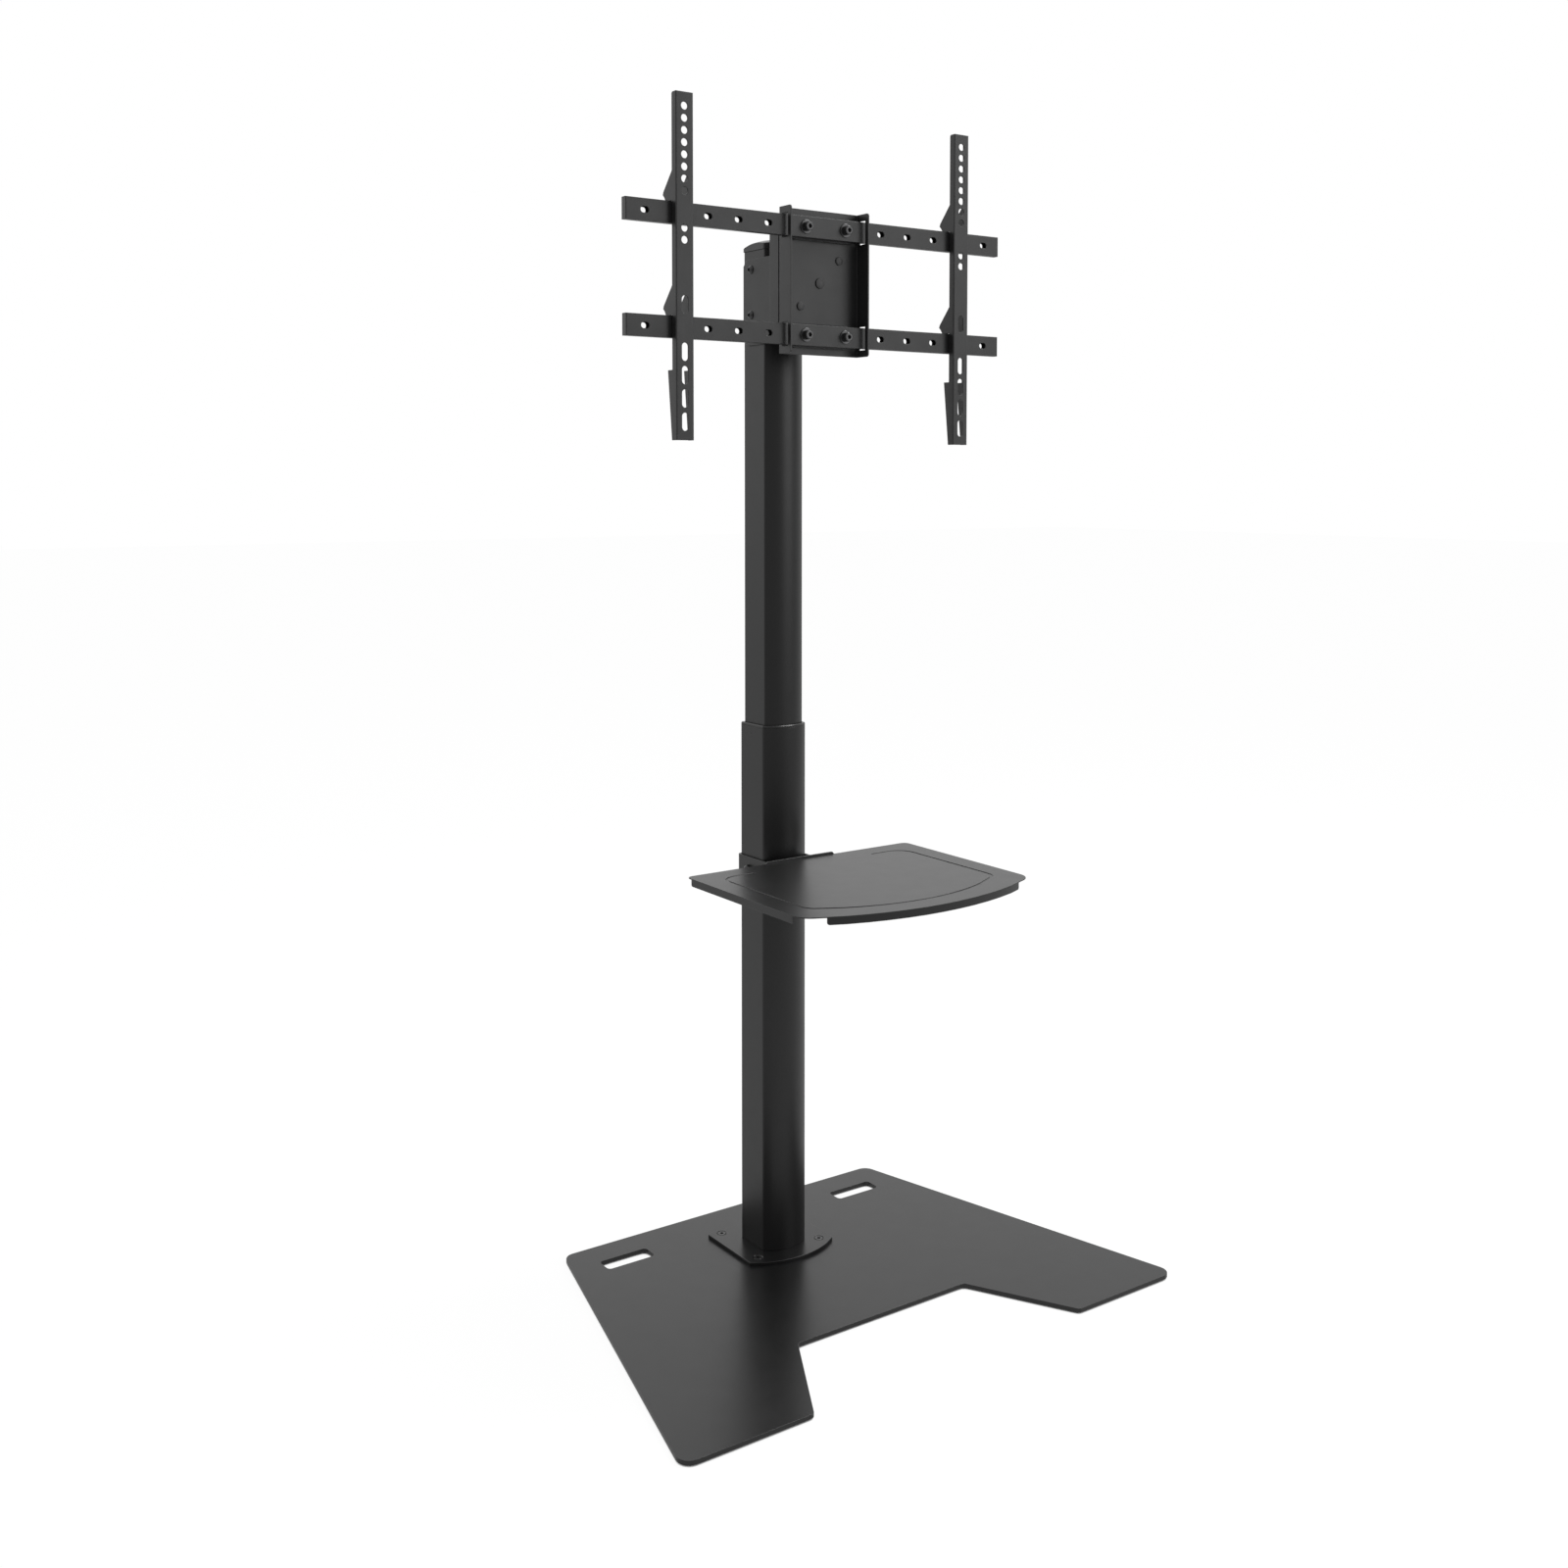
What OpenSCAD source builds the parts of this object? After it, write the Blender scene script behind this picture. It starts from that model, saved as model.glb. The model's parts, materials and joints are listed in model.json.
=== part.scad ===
// Floor stand for a television: a splayed steel base plate, a telescopic column with a bowed
// front, a shelf that slides on the lower tube, and a turning head with two rails and two arms.
// The origin is on the floor under the middle of the column's foot bolts. The screen side
// faces -Y, +X is to the right seen from the front, and +Z is up.

/* [Base] */
// Width of the base plate along its rear edge
base_rear_w = 578; // [500:1:640]
// Width of the base plate across the fronts of its two legs
base_front_w = 860; // [760:1:940]
// Distance from the column axis back to the rear edge
base_rear_y = 131; // [120:1:170]
// Distance from the column axis forward to the fronts of the legs
base_front_y = 436; // [390:1:500]
// Thickness of the base plate
base_t = 6; // [5:0.5:12]
// Gap between the two legs at their fronts
leg_gap_w = 466; // [400:1:520]
// Width of the notch at its inner end
notch_w = 298; // [220:1:340]
// Depth of the notch between the legs
notch_d = 153; // [100:1:220]
// Radius of the four outer corners
base_corner_r = 18; // [8:1:30]
// Radius of the corners of the notch
notch_corner_r = 8; // [3:1:14]
// Length of each carrying slot
handle_w = 80; // [60:1:110]
// Width of each carrying slot
handle_d = 29; // [22:1:36]
// Corner radius of the carrying slots
handle_r = 6; // [3:1:10]
// Distance from the column axis out to the middle of each carrying slot
handle_x = 215; // [180:1:230]
// Distance from the column axis back to the middle of the carrying slots
handle_y = 68.5; // [55:0.5:80]
// Diameter of the rubber pads under the plate
pad_d = 28; // [20:1:36]
// Height of the rubber pads under the plate
pad_t = 2.5; // [2:0.5:5]

/* [Foot flange] */
// Thickness of the foot flange
flange_t = 5; // [4:0.5:8]
// Ledge of the flange beside the column
flange_side = 38; // [34:0.5:48]
// Ledge of the flange behind the column
flange_rear = 36.5; // [34:0.5:46]
// Ledge of the flange in front of the column's front corners
flange_front = 21; // [19:0.5:30]
// Height of the bow in the flange's front edge
flange_bow = 25; // [16:0.5:32]
// Distance between the foot screws from left to right
foot_screw_w = 114; // [110:1:126]
// Distance between the foot screws from back to front
foot_screw_d = 100; // [92:1:104]
// Diameter of the foot screws
foot_screw_size = 8; // [6:1:10]

/* [Column] */
// Width of the lower tube
tube_w = 78; // [74:0.5:86]
// Distance from the column axis back to the lower tube's rear face
tube_rear_y = 23.5; // [21:0.5:28]
// Distance from the column axis forward to the lower tube's front corners
tube_front_y = 38; // [35:0.5:42]
// Height of the bow in the lower tube's front face
tube_bow = 15; // [10:0.5:20]
// Corner radius of the lower tube
tube_corner_r = 5; // [4:0.5:8]
// Wall of both tubes
tube_wall = 2; // [1.5:0.1:2.5]
// Space between the lower tube's bore and the upper tube, taken up by the guides
slide_gap = 2.5; // [1.5:0.1:3]
// Corner radius of the upper tube
mast_corner_r = 3.5; // [3:0.5:5]
// Length of the lower tube
lower_tube_l = 799.5; // [720:0.5:880]
// Length of the upper tube
upper_tube_l = 966; // [900:2:1000]
// Length of the upper tube that stands above the lower one
mast_reach = 711.5; // [641:0.5:741]
// Height of the guide collar's rim above the lower tube
collar_rim_h = 4; // [3:0.5:7]
// Depth of the guide collar inside the lower tube
collar_depth = 42; // [36:1:60]
// Thickness of the end cap's rim
cap_rim_h = 4.5; // [3:0.5:7]
// Height of the end cap's dome
cap_dome_h = 12.5; // [8:0.5:16]
// Overhang of the end cap round the upper tube
cap_overhang = 1.5; // [1:0.25:2.5]

/* [Head] */
// Height of the head's turning axis above the upper tube's top, negative when it is below
head_drop = -57.5; // [-70:0.5:-50]
// Distance from the column axis forward to the rails' front faces
rail_front_y = 142.5; // [138:0.5:156]
// Width of the mount tray
tray_w = 140; // [136:1:160]
// Length of the mount tray past the middle of each rail
tray_end = 27; // [25:0.5:34]
// Distance that the tray's sides stand out in front of the rails
tray_lip = 11; // [8:0.5:14]
// Thickness of the tray, the turning plate and the arms
sheet_t = 2.5; // [2:0.25:3]
// Height of the pads pressed into the tray behind the rails
tray_pad_h = 5.5; // [4.5:0.25:6]
// Width of the turning plate behind the tray
turn_plate_w = 134; // [126:1:135]
// Height of the turning plate behind the tray
turn_plate_h = 165; // [150:1:180]
// Depth of the turning plate's side walls
turn_plate_d = 22.5; // [20:0.5:26]
// Thickness of the friction disc between the tray and the turning plate
disc_t = 5.2; // [5:0.2:7]
// Diameter of the friction disc
disc_d = 118; // [114:1:124]
// Radius on which the two lock screws sit
lock_r = 48.7; // [44:0.1:50]
// Thickness of the clamp bracket
bracket_t = 3; // [2.5:0.25:4]
// Distance between the clamp bracket's two bolts
bracket_bolt_span = 67; // [60:1:72]

/* [Rails] */
// Length of the rails
rail_l = 660; // [640:2:700]
// Height of the rails
rail_h = 30; // [28:0.5:34]
// Depth of the rails
rail_d = 10; // [8:0.5:12]
// Wall of the rails
rail_wall = 1.5; // [1.2:0.1:2]
// Distance between the two rails, middle to middle
rail_span = 153; // [148:1:160]
// Length of the slots in the rails
rail_slot_l = 12.5; // [10:0.5:16]
// Width of the slots in the rails
rail_slot_w = 8.3; // [6:0.1:9]
// Distance between the two bolts that hold each rail
rail_bolt_span = 70; // [60:1:80]

/* [Arms] */
// Length of the arms
arm_l = 465.5; // [447:0.5:480]
// Width of the arms
arm_w = 28; // [26:0.5:32]
// Depth of the arms' plain side walls
arm_d = 11; // [9:0.5:12]
// Depth of the arms at their hooks
hook_d = 34.5; // [32:0.5:35]
// Distance from the middle of the head out to each arm
arm_x = 245; // [110:1:300]
// Distance that the arms' tops stand above the middle of the head
arm_rise = 236; // [230:0.5:241]
// Distance between the round holes in the arms
arm_hole_pitch = 16.1; // [15:0.1:16.5]
// Diameter of the round holes in the arms
arm_hole_d = 10.4; // [8:0.1:11]
// Distance between the slots in the arms
arm_slot_pitch = 31.4; // [29:0.1:32]
// Length of the slots in the arms
arm_slot_l = 24.6; // [20:0.1:26]

/* [Shelf] */
// Width of the shelf
shelf_w = 402; // [360:2:440]
// Depth of the shelf at its sides
shelf_side_d = 279; // [250:2:320]
// Height of the bow in the shelf's front edge
shelf_bow = 49; // [36:1:60]
// Height of the shelf's top above the floor
shelf_z = 619.4; // [500:0.1:680]
// Thickness of the shelf's sheet
shelf_t = 1.5; // [1.2:0.1:2]
// Height of the shelf's lips
shelf_lip_h = 11; // [9:0.5:16]
// Distance between the column's front corners and the shelf's rear edge
shelf_gap = 43; // [39:0.5:50]
// Width of the border outside the shelf's pressed groove
shelf_border = 33; // [26:1:40]
// Depth of the shelf's pressed groove
groove_d = 0.8; // [0.5:0.1:1.1]
// Width of the shelf's pressed groove
groove_w = 4; // [3:0.5:6]
// Distance between the groove's two ends at the rear
groove_gap = 216; // [170:2:250]
// Width of the bracket under the shelf
shelf_bracket_w = 126; // [110:2:146]
// Height of the collar that carries the shelf
shelf_collar_h = 44; // [36:1:56]

/* [Hidden] */
$fn = 48;

black = [0.09, 0.09, 0.095];
satin = [0.13, 0.13, 0.135];
plastic = [0.05, 0.05, 0.05];
zinc = [0.32, 0.32, 0.33];

// One overrun for every cut and one running clearance for every sliding fit
over = 1;
clear = 0.3;
fit = 0.05;
arc_steps = 8;

// Half a full turn, in degrees
half_turn = 180;

// The column's front corners stand this much proud of its bow, so that the two arcs cross
corner_lap = 0.02;

// Heights
base_top = pad_t + base_t;
flange_top = base_top + flange_t;
lower_top = flange_top + lower_tube_l;
mast_top = lower_top + mast_reach;
mast_bottom = mast_top - upper_tube_l;
head_z = mast_top + head_drop;
tray_h = rail_span + 2 * tray_end;

// The bowed front of the column is one circle for both tubes
bow_r = (pow(tube_w / 2, 2) + pow(tube_bow, 2)) / (2 * tube_bow);
bow_y = bow_r - tube_bow - tube_front_y;
mast_inset = tube_wall + slide_gap;
mast_half_w = tube_w / 2 - mast_inset;
mast_rear_y = tube_rear_y - mast_inset;

// Depths of the head, each measured forward of the column axis
rail_back_y = rail_front_y - rail_d;
tray_face_y = rail_back_y - tray_pad_h;
tray_back_y = tray_face_y - sheet_t;
tray_edge_y = rail_front_y + tray_lip;
turn_face_y = tray_back_y - disc_t - clear;
turn_back_y = turn_face_y - turn_plate_d;
arm_clear = 1;
arm_face_y = rail_front_y + arm_clear + arm_d;

// Corner arc between the lines a-b and b-c, as points
function unit(v) = v / norm(v);
function corner_arc(a, b, c, r) =
    let (u = unit(a - b), v = unit(c - b), half = acos(u * v) / 2)
    let (o = b + unit(u + v) * r / sin(half), p = b + u * r / tan(half), q = b + v * r / tan(half))
    let (start = atan2(p[1] - o[1], p[0] - o[0]), end = atan2(q[1] - o[1], q[0] - o[0]))
    let (turn = (end - start + 3 * half_turn) % (2 * half_turn) - half_turn)
    r <= 0 ? [b] : [for (i = [0:arc_steps])
        o + r * [cos(start + turn * i / arc_steps), sin(start + turn * i / arc_steps)]];

// Outline of [x, y, corner radius] points with its corners rounded
function flat(p) = [p[0], p[1]];
function rounded(pts) = let (n = len(pts)) [for (i = [0:n - 1])
    each corner_arc(flat(pts[(i + n - 1) % n]), flat(pts[i]), flat(pts[(i + 1) % n]), pts[i][2])];

// The same outline on both sides of the middle, given its left half from back to front
function mirrored(pts) = concat(pts, [for (i = [len(pts) - 1:-1:0]) [-pts[i][0], pts[i][1], pts[i][2]]]);

// Points of a bow of height h between -half and +half at depth y, without its two ends
bow_steps = 14;
function bow_points(half, y, h) =
    let (r = (half * half + h * h) / (2 * h))
    [for (i = [2:bow_steps - 2]) let (x = half * (2 * i / bow_steps - 1))
        [x, y - (sqrt(r * r - x * x) - r + h), 0]];

// Box from its low corner and its high corner
module box(low, high) {
    translate(low) cube(high - low);
}

// Cylinder that runs forward, from depth y0 to depth y1 in front of the column axis
module forward_rod(y0, y1, d, x = 0, z = 0) {
    translate([x, -y0, z]) rotate([90, 0, 0]) cylinder(d = d, h = y1 - y0);
}

// Hexagon that runs forward, across flats s
module forward_hex(y0, y1, s, x = 0, z = 0) {
    translate([x, -y0, z]) rotate([90, 0, 0]) cylinder(d = s / cos(30), h = y1 - y0, $fn = 6);
}

// Low dome that points forward, on a face at depth y
module forward_dome(y, d, h, x = 0, z = 0) {
    dome_r = (d * d / 4 + h * h) / (2 * h);
    translate([x, -y, z]) rotate([90, 0, 0]) intersection() {
        cylinder(d = d, h = h);
        translate([0, 0, h - dome_r]) sphere(r = dome_r);
    }
}

// Obround plate from depth y0 to depth y1, long side l along X
module forward_obround(y0, y1, l, w, x = 0, z = 0) {
    for (side = [-1, 1]) forward_rod(y0, y1, w, x + side * (l - w) / 2, z);
    box([x - (l - w) / 2, -y1, z - w / 2], [x + (l - w) / 2, -y0, z + w / 2]);
}

// Section of the column with its bowed front, inset all round
module column_section(inset, r) {
    half = tube_w / 2 - inset;
    big = bow_r - inset;
    side_x = half - r;
    corner_reach = big - r + corner_lap;
    side_y = bow_y - sqrt(pow(corner_reach, 2) - pow(side_x, 2));
    touch_x = side_x * big / corner_reach;
    rear = tube_rear_y - inset;
    for (side = [-1, 1]) {
        translate([side * side_x, side_y]) circle(r = r);
        translate([side * side_x, rear - r]) circle(r = r);
    }
    translate([-half, side_y]) square([2 * half, rear - r - side_y]);
    translate([-side_x, side_y]) square([2 * side_x, rear - side_y]);
    intersection() {
        translate([0, bow_y]) circle(r = big, $fn = 180);
        translate([-touch_x, bow_y - big - over]) square([2 * touch_x, side_y - bow_y + big + over]);
    }
}

module column_bar(z0, z1, inset, r) {
    translate([0, 0, z0]) linear_extrude(height = z1 - z0) column_section(inset, r);
}

// Base plate

base_outline = mirrored([
    [-base_rear_w / 2, base_rear_y, base_corner_r],
    [-base_front_w / 2, -base_front_y, base_corner_r],
    [-leg_gap_w / 2, -base_front_y, notch_corner_r],
    [-notch_w / 2, notch_d - base_front_y, notch_corner_r]]);

module foot_screw_spots() {
    for (x = [-1, 1], y = [-1, 1])
        translate([x * foot_screw_w / 2, y * foot_screw_d / 2, 0]) children();
}

module handle_slot() {
    translate([-handle_w / 2 + handle_r, -handle_d / 2, pad_t - over])
        cube([handle_w - 2 * handle_r, handle_d, base_t + 2 * over]);
    translate([-handle_w / 2, -handle_d / 2 + handle_r, pad_t - over])
        cube([handle_w, handle_d - 2 * handle_r, base_t + 2 * over]);
    for (x = [-1, 1], y = [-1, 1])
        translate([x * (handle_w / 2 - handle_r), y * (handle_d / 2 - handle_r), pad_t - over])
            cylinder(r = handle_r, h = base_t + 2 * over);
}

module base_plate() {
    color(satin) difference() {
        translate([0, 0, pad_t]) linear_extrude(height = base_t) polygon(rounded(base_outline));
        for (side = [-1, 1]) translate([side * handle_x, handle_y, 0]) handle_slot();
        foot_screw_spots() translate([0, 0, pad_t - over])
            cylinder(d = foot_screw_size, h = base_t + 2 * over);
    }
}

// Rubber pads, set in from the corners and along the notch, and one under the column
pad_margin = 12;
pad_inset = pad_margin + pad_d / 2;

module base_pads() {
    rear_x = base_rear_w / 2 - pad_inset;
    front_x = (base_front_w + leg_gap_w) / 4;
    color(plastic) cylinder(d = pad_d, h = pad_t);
    color(plastic) for (side = [-1, 1]) {
        translate([side * rear_x, base_rear_y - pad_inset, 0]) cylinder(d = pad_d, h = pad_t);
        translate([side * front_x, pad_inset - base_front_y, 0]) cylinder(d = pad_d, h = pad_t);
        translate([side * (notch_w / 2 + pad_inset), notch_d - base_front_y + pad_inset, 0])
            cylinder(d = pad_d, h = pad_t);
    }
}

// Foot flange and its countersunk screws

flange_half = tube_w / 2 + flange_side;
flange_front_y = tube_front_y + flange_front;
flange_corner_r = 4;
flange_rear_y = tube_rear_y + flange_rear;
flange_outline = concat(
    [[-flange_half, flange_rear_y, flange_corner_r], [-flange_half, -flange_front_y, flange_corner_r]],
    bow_points(flange_half, -flange_front_y, flange_bow),
    [[flange_half, -flange_front_y, flange_corner_r], [flange_half, flange_rear_y, flange_corner_r]]);

foot_head_d = foot_screw_size * 2;
foot_head_h = foot_screw_size / 2;
foot_socket = foot_screw_size * 5 / 8;

module foot_flange() {
    color(satin) difference() {
        translate([0, 0, base_top]) linear_extrude(height = flange_t) polygon(rounded(flange_outline));
        foot_screw_spots() {
            translate([0, 0, base_top - over]) cylinder(d = foot_screw_size, h = flange_t + 2 * over);
            translate([0, 0, flange_top - foot_head_h])
                cylinder(d1 = foot_screw_size, d2 = foot_head_d, h = foot_head_h);
        }
    }
}

module foot_screws() {
    color(zinc) foot_screw_spots() difference() {
        union() {
            translate([0, 0, pad_t]) cylinder(d = foot_screw_size, h = base_t + flange_t - foot_head_h);
            translate([0, 0, flange_top - foot_head_h])
                cylinder(d1 = foot_screw_size, d2 = foot_head_d, h = foot_head_h);
        }
        translate([0, 0, flange_top - foot_head_h * 3 / 4])
            cylinder(d = foot_socket / cos(30), h = foot_head_h, $fn = 6);
    }
}

// Column: lower tube, guide collar, upper tube, its shoe and its end cap

collar_lug_d = 3.2;
collar_lug_y = 6.4;
collar_lug_drop = 10;
collar_lug_z = lower_top - collar_lug_drop;
collar_grip = 0.1;
lock_bolt_size = 8;
lock_bolt_span = 28;
lock_bolt_drop = 3;
lock_bolt_z = lower_top - collar_depth / 2 - lock_bolt_drop;
lock_nut_h = 6.5;
lock_head_h = 5.3;
lock_head_s = 13;
lock_head_gap = 4;

module lock_bolt_spots() {
    for (side = [-1, 1]) translate([side * lock_bolt_span / 2, 0, lock_bolt_z]) children();
}

module lower_tube() {
    color(black) difference() {
        column_bar(flange_top, lower_top, 0, tube_corner_r);
        column_bar(flange_top - over, lower_top + over, tube_wall, tube_corner_r - tube_wall);
        translate([-tube_w, -collar_lug_y, collar_lug_z]) rotate([0, 90, 0])
            cylinder(d = collar_lug_d, h = 2 * tube_w);
        lock_bolt_spots() rotate([90, 0, 0]) translate([0, 0, -tube_w])
            cylinder(d = lock_bolt_size, h = tube_w);
    }
}

collar_bore_inset = mast_inset - clear;

module guide_collar() {
    color(plastic) {
        difference() {
            union() {
                column_bar(lower_top, lower_top + collar_rim_h, 0, tube_corner_r);
                column_bar(lower_top - collar_depth, lower_top, tube_wall + collar_grip,
                    tube_corner_r - tube_wall);
                translate([-tube_w / 2 - collar_grip, -collar_lug_y, collar_lug_z]) rotate([0, 90, 0])
                    cylinder(d = collar_lug_d, h = tube_w + 2 * collar_grip);
            }
            column_bar(lower_top - collar_depth - over, lower_top + collar_rim_h + over,
                collar_bore_inset, mast_corner_r + clear);
        }
    }
}

// The lock bolts press on the guide collar's sleeve, which grips the upper tube
lock_tip_y = tube_rear_y - tube_wall - collar_grip;
lock_head_y = tube_rear_y + lock_nut_h + lock_head_gap;

module height_lock_nuts() {
    color(black) lock_bolt_spots() difference() {
        forward_hex(-tube_rear_y - lock_nut_h, -tube_rear_y, lock_head_s);
        forward_rod(-tube_rear_y - lock_nut_h - over, -tube_rear_y + over, lock_bolt_size);
    }
}

module height_lock_bolts() {
    color(zinc) lock_bolt_spots() {
        forward_rod(-lock_head_y, -lock_tip_y, lock_bolt_size);
        forward_hex(-lock_head_y - lock_head_h, -lock_head_y, lock_head_s);
    }
}

clamp_bolt_size = 8;
clamp_bolt_y = 5;
clamp_bolt_rise = 29.5;
clamp_bolt_top_z = head_z + clamp_bolt_rise;

module clamp_bolt_spots() {
    for (drop = [0, bracket_bolt_span])
        translate([0, -clamp_bolt_y, clamp_bolt_top_z - drop]) rotate([0, 90, 0]) children();
}

mast_inner_r = mast_corner_r - tube_wall / 2;

module upper_tube() {
    color(black) difference() {
        column_bar(mast_bottom, mast_top, mast_inset, mast_corner_r);
        column_bar(mast_bottom - over, mast_top + over, mast_inset + tube_wall, mast_inner_r);
        clamp_bolt_spots() translate([0, 0, -tube_w]) cylinder(d = clamp_bolt_size, h = 2 * tube_w);
    }
}

shoe_plug_h = 26;
shoe_foot_h = 14;
shoe_wall = 4;

module slide_shoe() {
    color(plastic) difference() {
        union() {
            column_bar(mast_bottom - shoe_foot_h, mast_bottom, tube_wall + clear, tube_corner_r - tube_wall);
            column_bar(mast_bottom, mast_bottom + shoe_plug_h, mast_inset + tube_wall, mast_inner_r);
        }
        column_bar(mast_bottom - shoe_foot_h - over, mast_bottom + shoe_plug_h + over,
            mast_inset + tube_wall + shoe_wall, mast_corner_r);
    }
}

cap_plug_h = 12;
cap_section_mid_y = (mast_rear_y - tube_front_y - tube_bow + mast_inset) / 2;
cap_reach = norm([mast_half_w, mast_rear_y - cap_section_mid_y]) + cap_overhang;
cap_dome_r = (cap_reach * cap_reach + cap_dome_h * cap_dome_h) / (2 * cap_dome_h);

module end_cap() {
    color(plastic) {
        column_bar(mast_top - cap_plug_h, mast_top, mast_inset + tube_wall, mast_inner_r);
        intersection() {
            column_bar(mast_top, mast_top + cap_rim_h + cap_dome_h, mast_inset - cap_overhang,
                mast_corner_r + cap_overhang);
            translate([0, cap_section_mid_y, mast_top + cap_rim_h + cap_dome_h - cap_dome_r])
                sphere(r = cap_dome_r, $fn = 180);
        }
    }
}

// Clamp bracket: two cheeks on the upper tube, welded to a plate inside the turning plate's channel

cheek_gap = 0.2;
cheek_in_x = mast_half_w + cheek_gap;
cheek_out_x = cheek_in_x + bracket_t;
cheek_set_in = 4;
cheek_rear_y = mast_rear_y - cheek_set_in;
cheek_cut = 9;
cheek_rise = 45;
cheek_top_z = head_z + cheek_rise;
cheek_low_z = head_z - turn_plate_h / 2;
bracket_face_y = turn_back_y;

module cheek() {
    rotate([90, 0, 90]) linear_extrude(height = bracket_t) polygon([
        [-bracket_face_y, cheek_low_z], [cheek_rear_y - cheek_cut, cheek_low_z],
        [cheek_rear_y, cheek_low_z + cheek_cut], [cheek_rear_y, cheek_top_z - cheek_cut],
        [cheek_rear_y - cheek_cut, cheek_top_z], [-bracket_face_y, cheek_top_z]]);
}

module clamp_bracket() {
    color(black) difference() {
        union() {
            translate([-cheek_out_x, 0, 0]) cheek();
            translate([cheek_in_x, 0, 0]) cheek();
            box([sheet_t - turn_plate_w / 2, -bracket_face_y - bracket_t, cheek_low_z],
                [turn_plate_w / 2 - sheet_t, -bracket_face_y, cheek_top_z]);
        }
        clamp_bolt_spots() translate([0, 0, -tube_w]) cylinder(d = clamp_bolt_size, h = 2 * tube_w);
    }
}

sleeve_d = 13;
clamp_head_d = 13;
clamp_head_h = 5;
clamp_socket = 5;
clamp_nut_s = 13;
clamp_nut_h = 6;

module clamp_sleeves() {
    color(zinc) clamp_bolt_spots() difference() {
        translate([0, 0, tube_wall - mast_half_w]) cylinder(d = sleeve_d, h = 2 * (mast_half_w - tube_wall));
        translate([0, 0, -tube_w]) cylinder(d = clamp_bolt_size, h = 2 * tube_w);
    }
}

module clamp_bolts() {
    head_r = (clamp_head_d * clamp_head_d / 4 + clamp_head_h * clamp_head_h) / (2 * clamp_head_h);
    color(black) clamp_bolt_spots() difference() {
        union() {
            translate([0, 0, -cheek_out_x]) cylinder(d = clamp_bolt_size, h = 2 * cheek_out_x + clamp_nut_h);
            intersection() {
                translate([0, 0, -cheek_out_x - clamp_head_h]) cylinder(d = clamp_head_d, h = clamp_head_h);
                translate([0, 0, head_r - clamp_head_h - cheek_out_x]) sphere(r = head_r);
            }
        }
        translate([0, 0, -cheek_out_x - clamp_head_h - over])
            cylinder(d = clamp_socket / cos(30), h = clamp_head_h * 3 / 5 + over, $fn = 6);
    }
}

module clamp_cap_nuts() {
    cap_h = clamp_nut_h * 2 / 3;
    cap_r = (clamp_nut_s * clamp_nut_s / 4 + cap_h * cap_h) / (2 * cap_h);
    color(black) clamp_bolt_spots() difference() {
        union() {
            translate([0, 0, cheek_out_x]) cylinder(d = clamp_nut_s / cos(30), h = clamp_nut_h, $fn = 6);
            intersection() {
                translate([0, 0, cheek_out_x + clamp_nut_h]) cylinder(d = clamp_nut_s, h = cap_h);
                translate([0, 0, cheek_out_x + clamp_nut_h + cap_h - cap_r]) sphere(r = cap_r);
            }
        }
        cylinder(d = clamp_bolt_size, h = cheek_out_x + clamp_nut_h);
    }
}

// Turning plate: a shallow channel with a pivot bore and two curved slots for the lock screws

pivot_size = 8;
lock_size = 6;
lock_slot_w = lock_size + 2 * clear;
lock_angle = 45;

module turn_slot() {
    rotate([90, 0, 0]) translate([0, 0, turn_face_y - sheet_t - over]) {
        rotate([0, 0, -lock_angle]) rotate_extrude(angle = 2 * lock_angle)
            translate([lock_r - lock_slot_w / 2, 0]) square([lock_slot_w, sheet_t + 2 * over]);
        for (end = [-1, 1]) rotate([0, 0, end * lock_angle]) translate([lock_r, 0, 0])
            cylinder(d = lock_slot_w, h = sheet_t + 2 * over);
    }
}

module turning_plate() {
    half = turn_plate_w / 2;
    color(black) translate([0, 0, head_z]) difference() {
        box([-half, -turn_face_y, -turn_plate_h / 2], [half, -turn_back_y, turn_plate_h / 2]);
        box([sheet_t - half, sheet_t - turn_face_y, -turn_plate_h / 2 - over],
            [half - sheet_t, over - turn_back_y, turn_plate_h / 2 + over]);
        forward_rod(turn_back_y, turn_face_y + over, pivot_size + 2 * fit);
        turn_slot();
        rotate([0, 180, 0]) turn_slot();
    }
}

// Two lock screws on a diagonal, seen from the front at upper right and lower left
module lock_spots() {
    for (turn = [0, 180]) rotate([0, turn, 0])
        translate([lock_r * cos(lock_angle), 0, lock_r * sin(lock_angle)]) children();
}

module friction_disc() {
    color(plastic) translate([0, 0, head_z]) difference() {
        forward_rod(tray_back_y - disc_t, tray_back_y, disc_d);
        forward_rod(tray_back_y - disc_t - over, tray_back_y + over, pivot_size);
        lock_spots() forward_rod(tray_back_y - disc_t - over, tray_back_y + over, lock_size);
    }
}

pivot_head_d = 15;
pivot_head_h = 2.4;
pivot_nut_s = 13;
pivot_nut_h = 7;
lock_screw_head_d = 12;
lock_screw_head_h = 2;
lock_screw_nut_s = 10;
lock_screw_nut_h = 5;
turn_rear_y = turn_face_y - sheet_t;
thread_tail = 2;

module pivot_bolt() {
    color(black) translate([0, 0, head_z]) {
        forward_rod(turn_rear_y - clear - pivot_nut_h - thread_tail, tray_face_y, pivot_size);
        forward_dome(tray_face_y, pivot_head_d, pivot_head_h);
    }
}

module pivot_nut() {
    color(zinc) translate([0, 0, head_z]) difference() {
        forward_hex(turn_rear_y - clear - pivot_nut_h, turn_rear_y - clear, pivot_nut_s);
        forward_rod(turn_rear_y - pivot_nut_h - over, turn_rear_y + over, pivot_size);
    }
}

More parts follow.
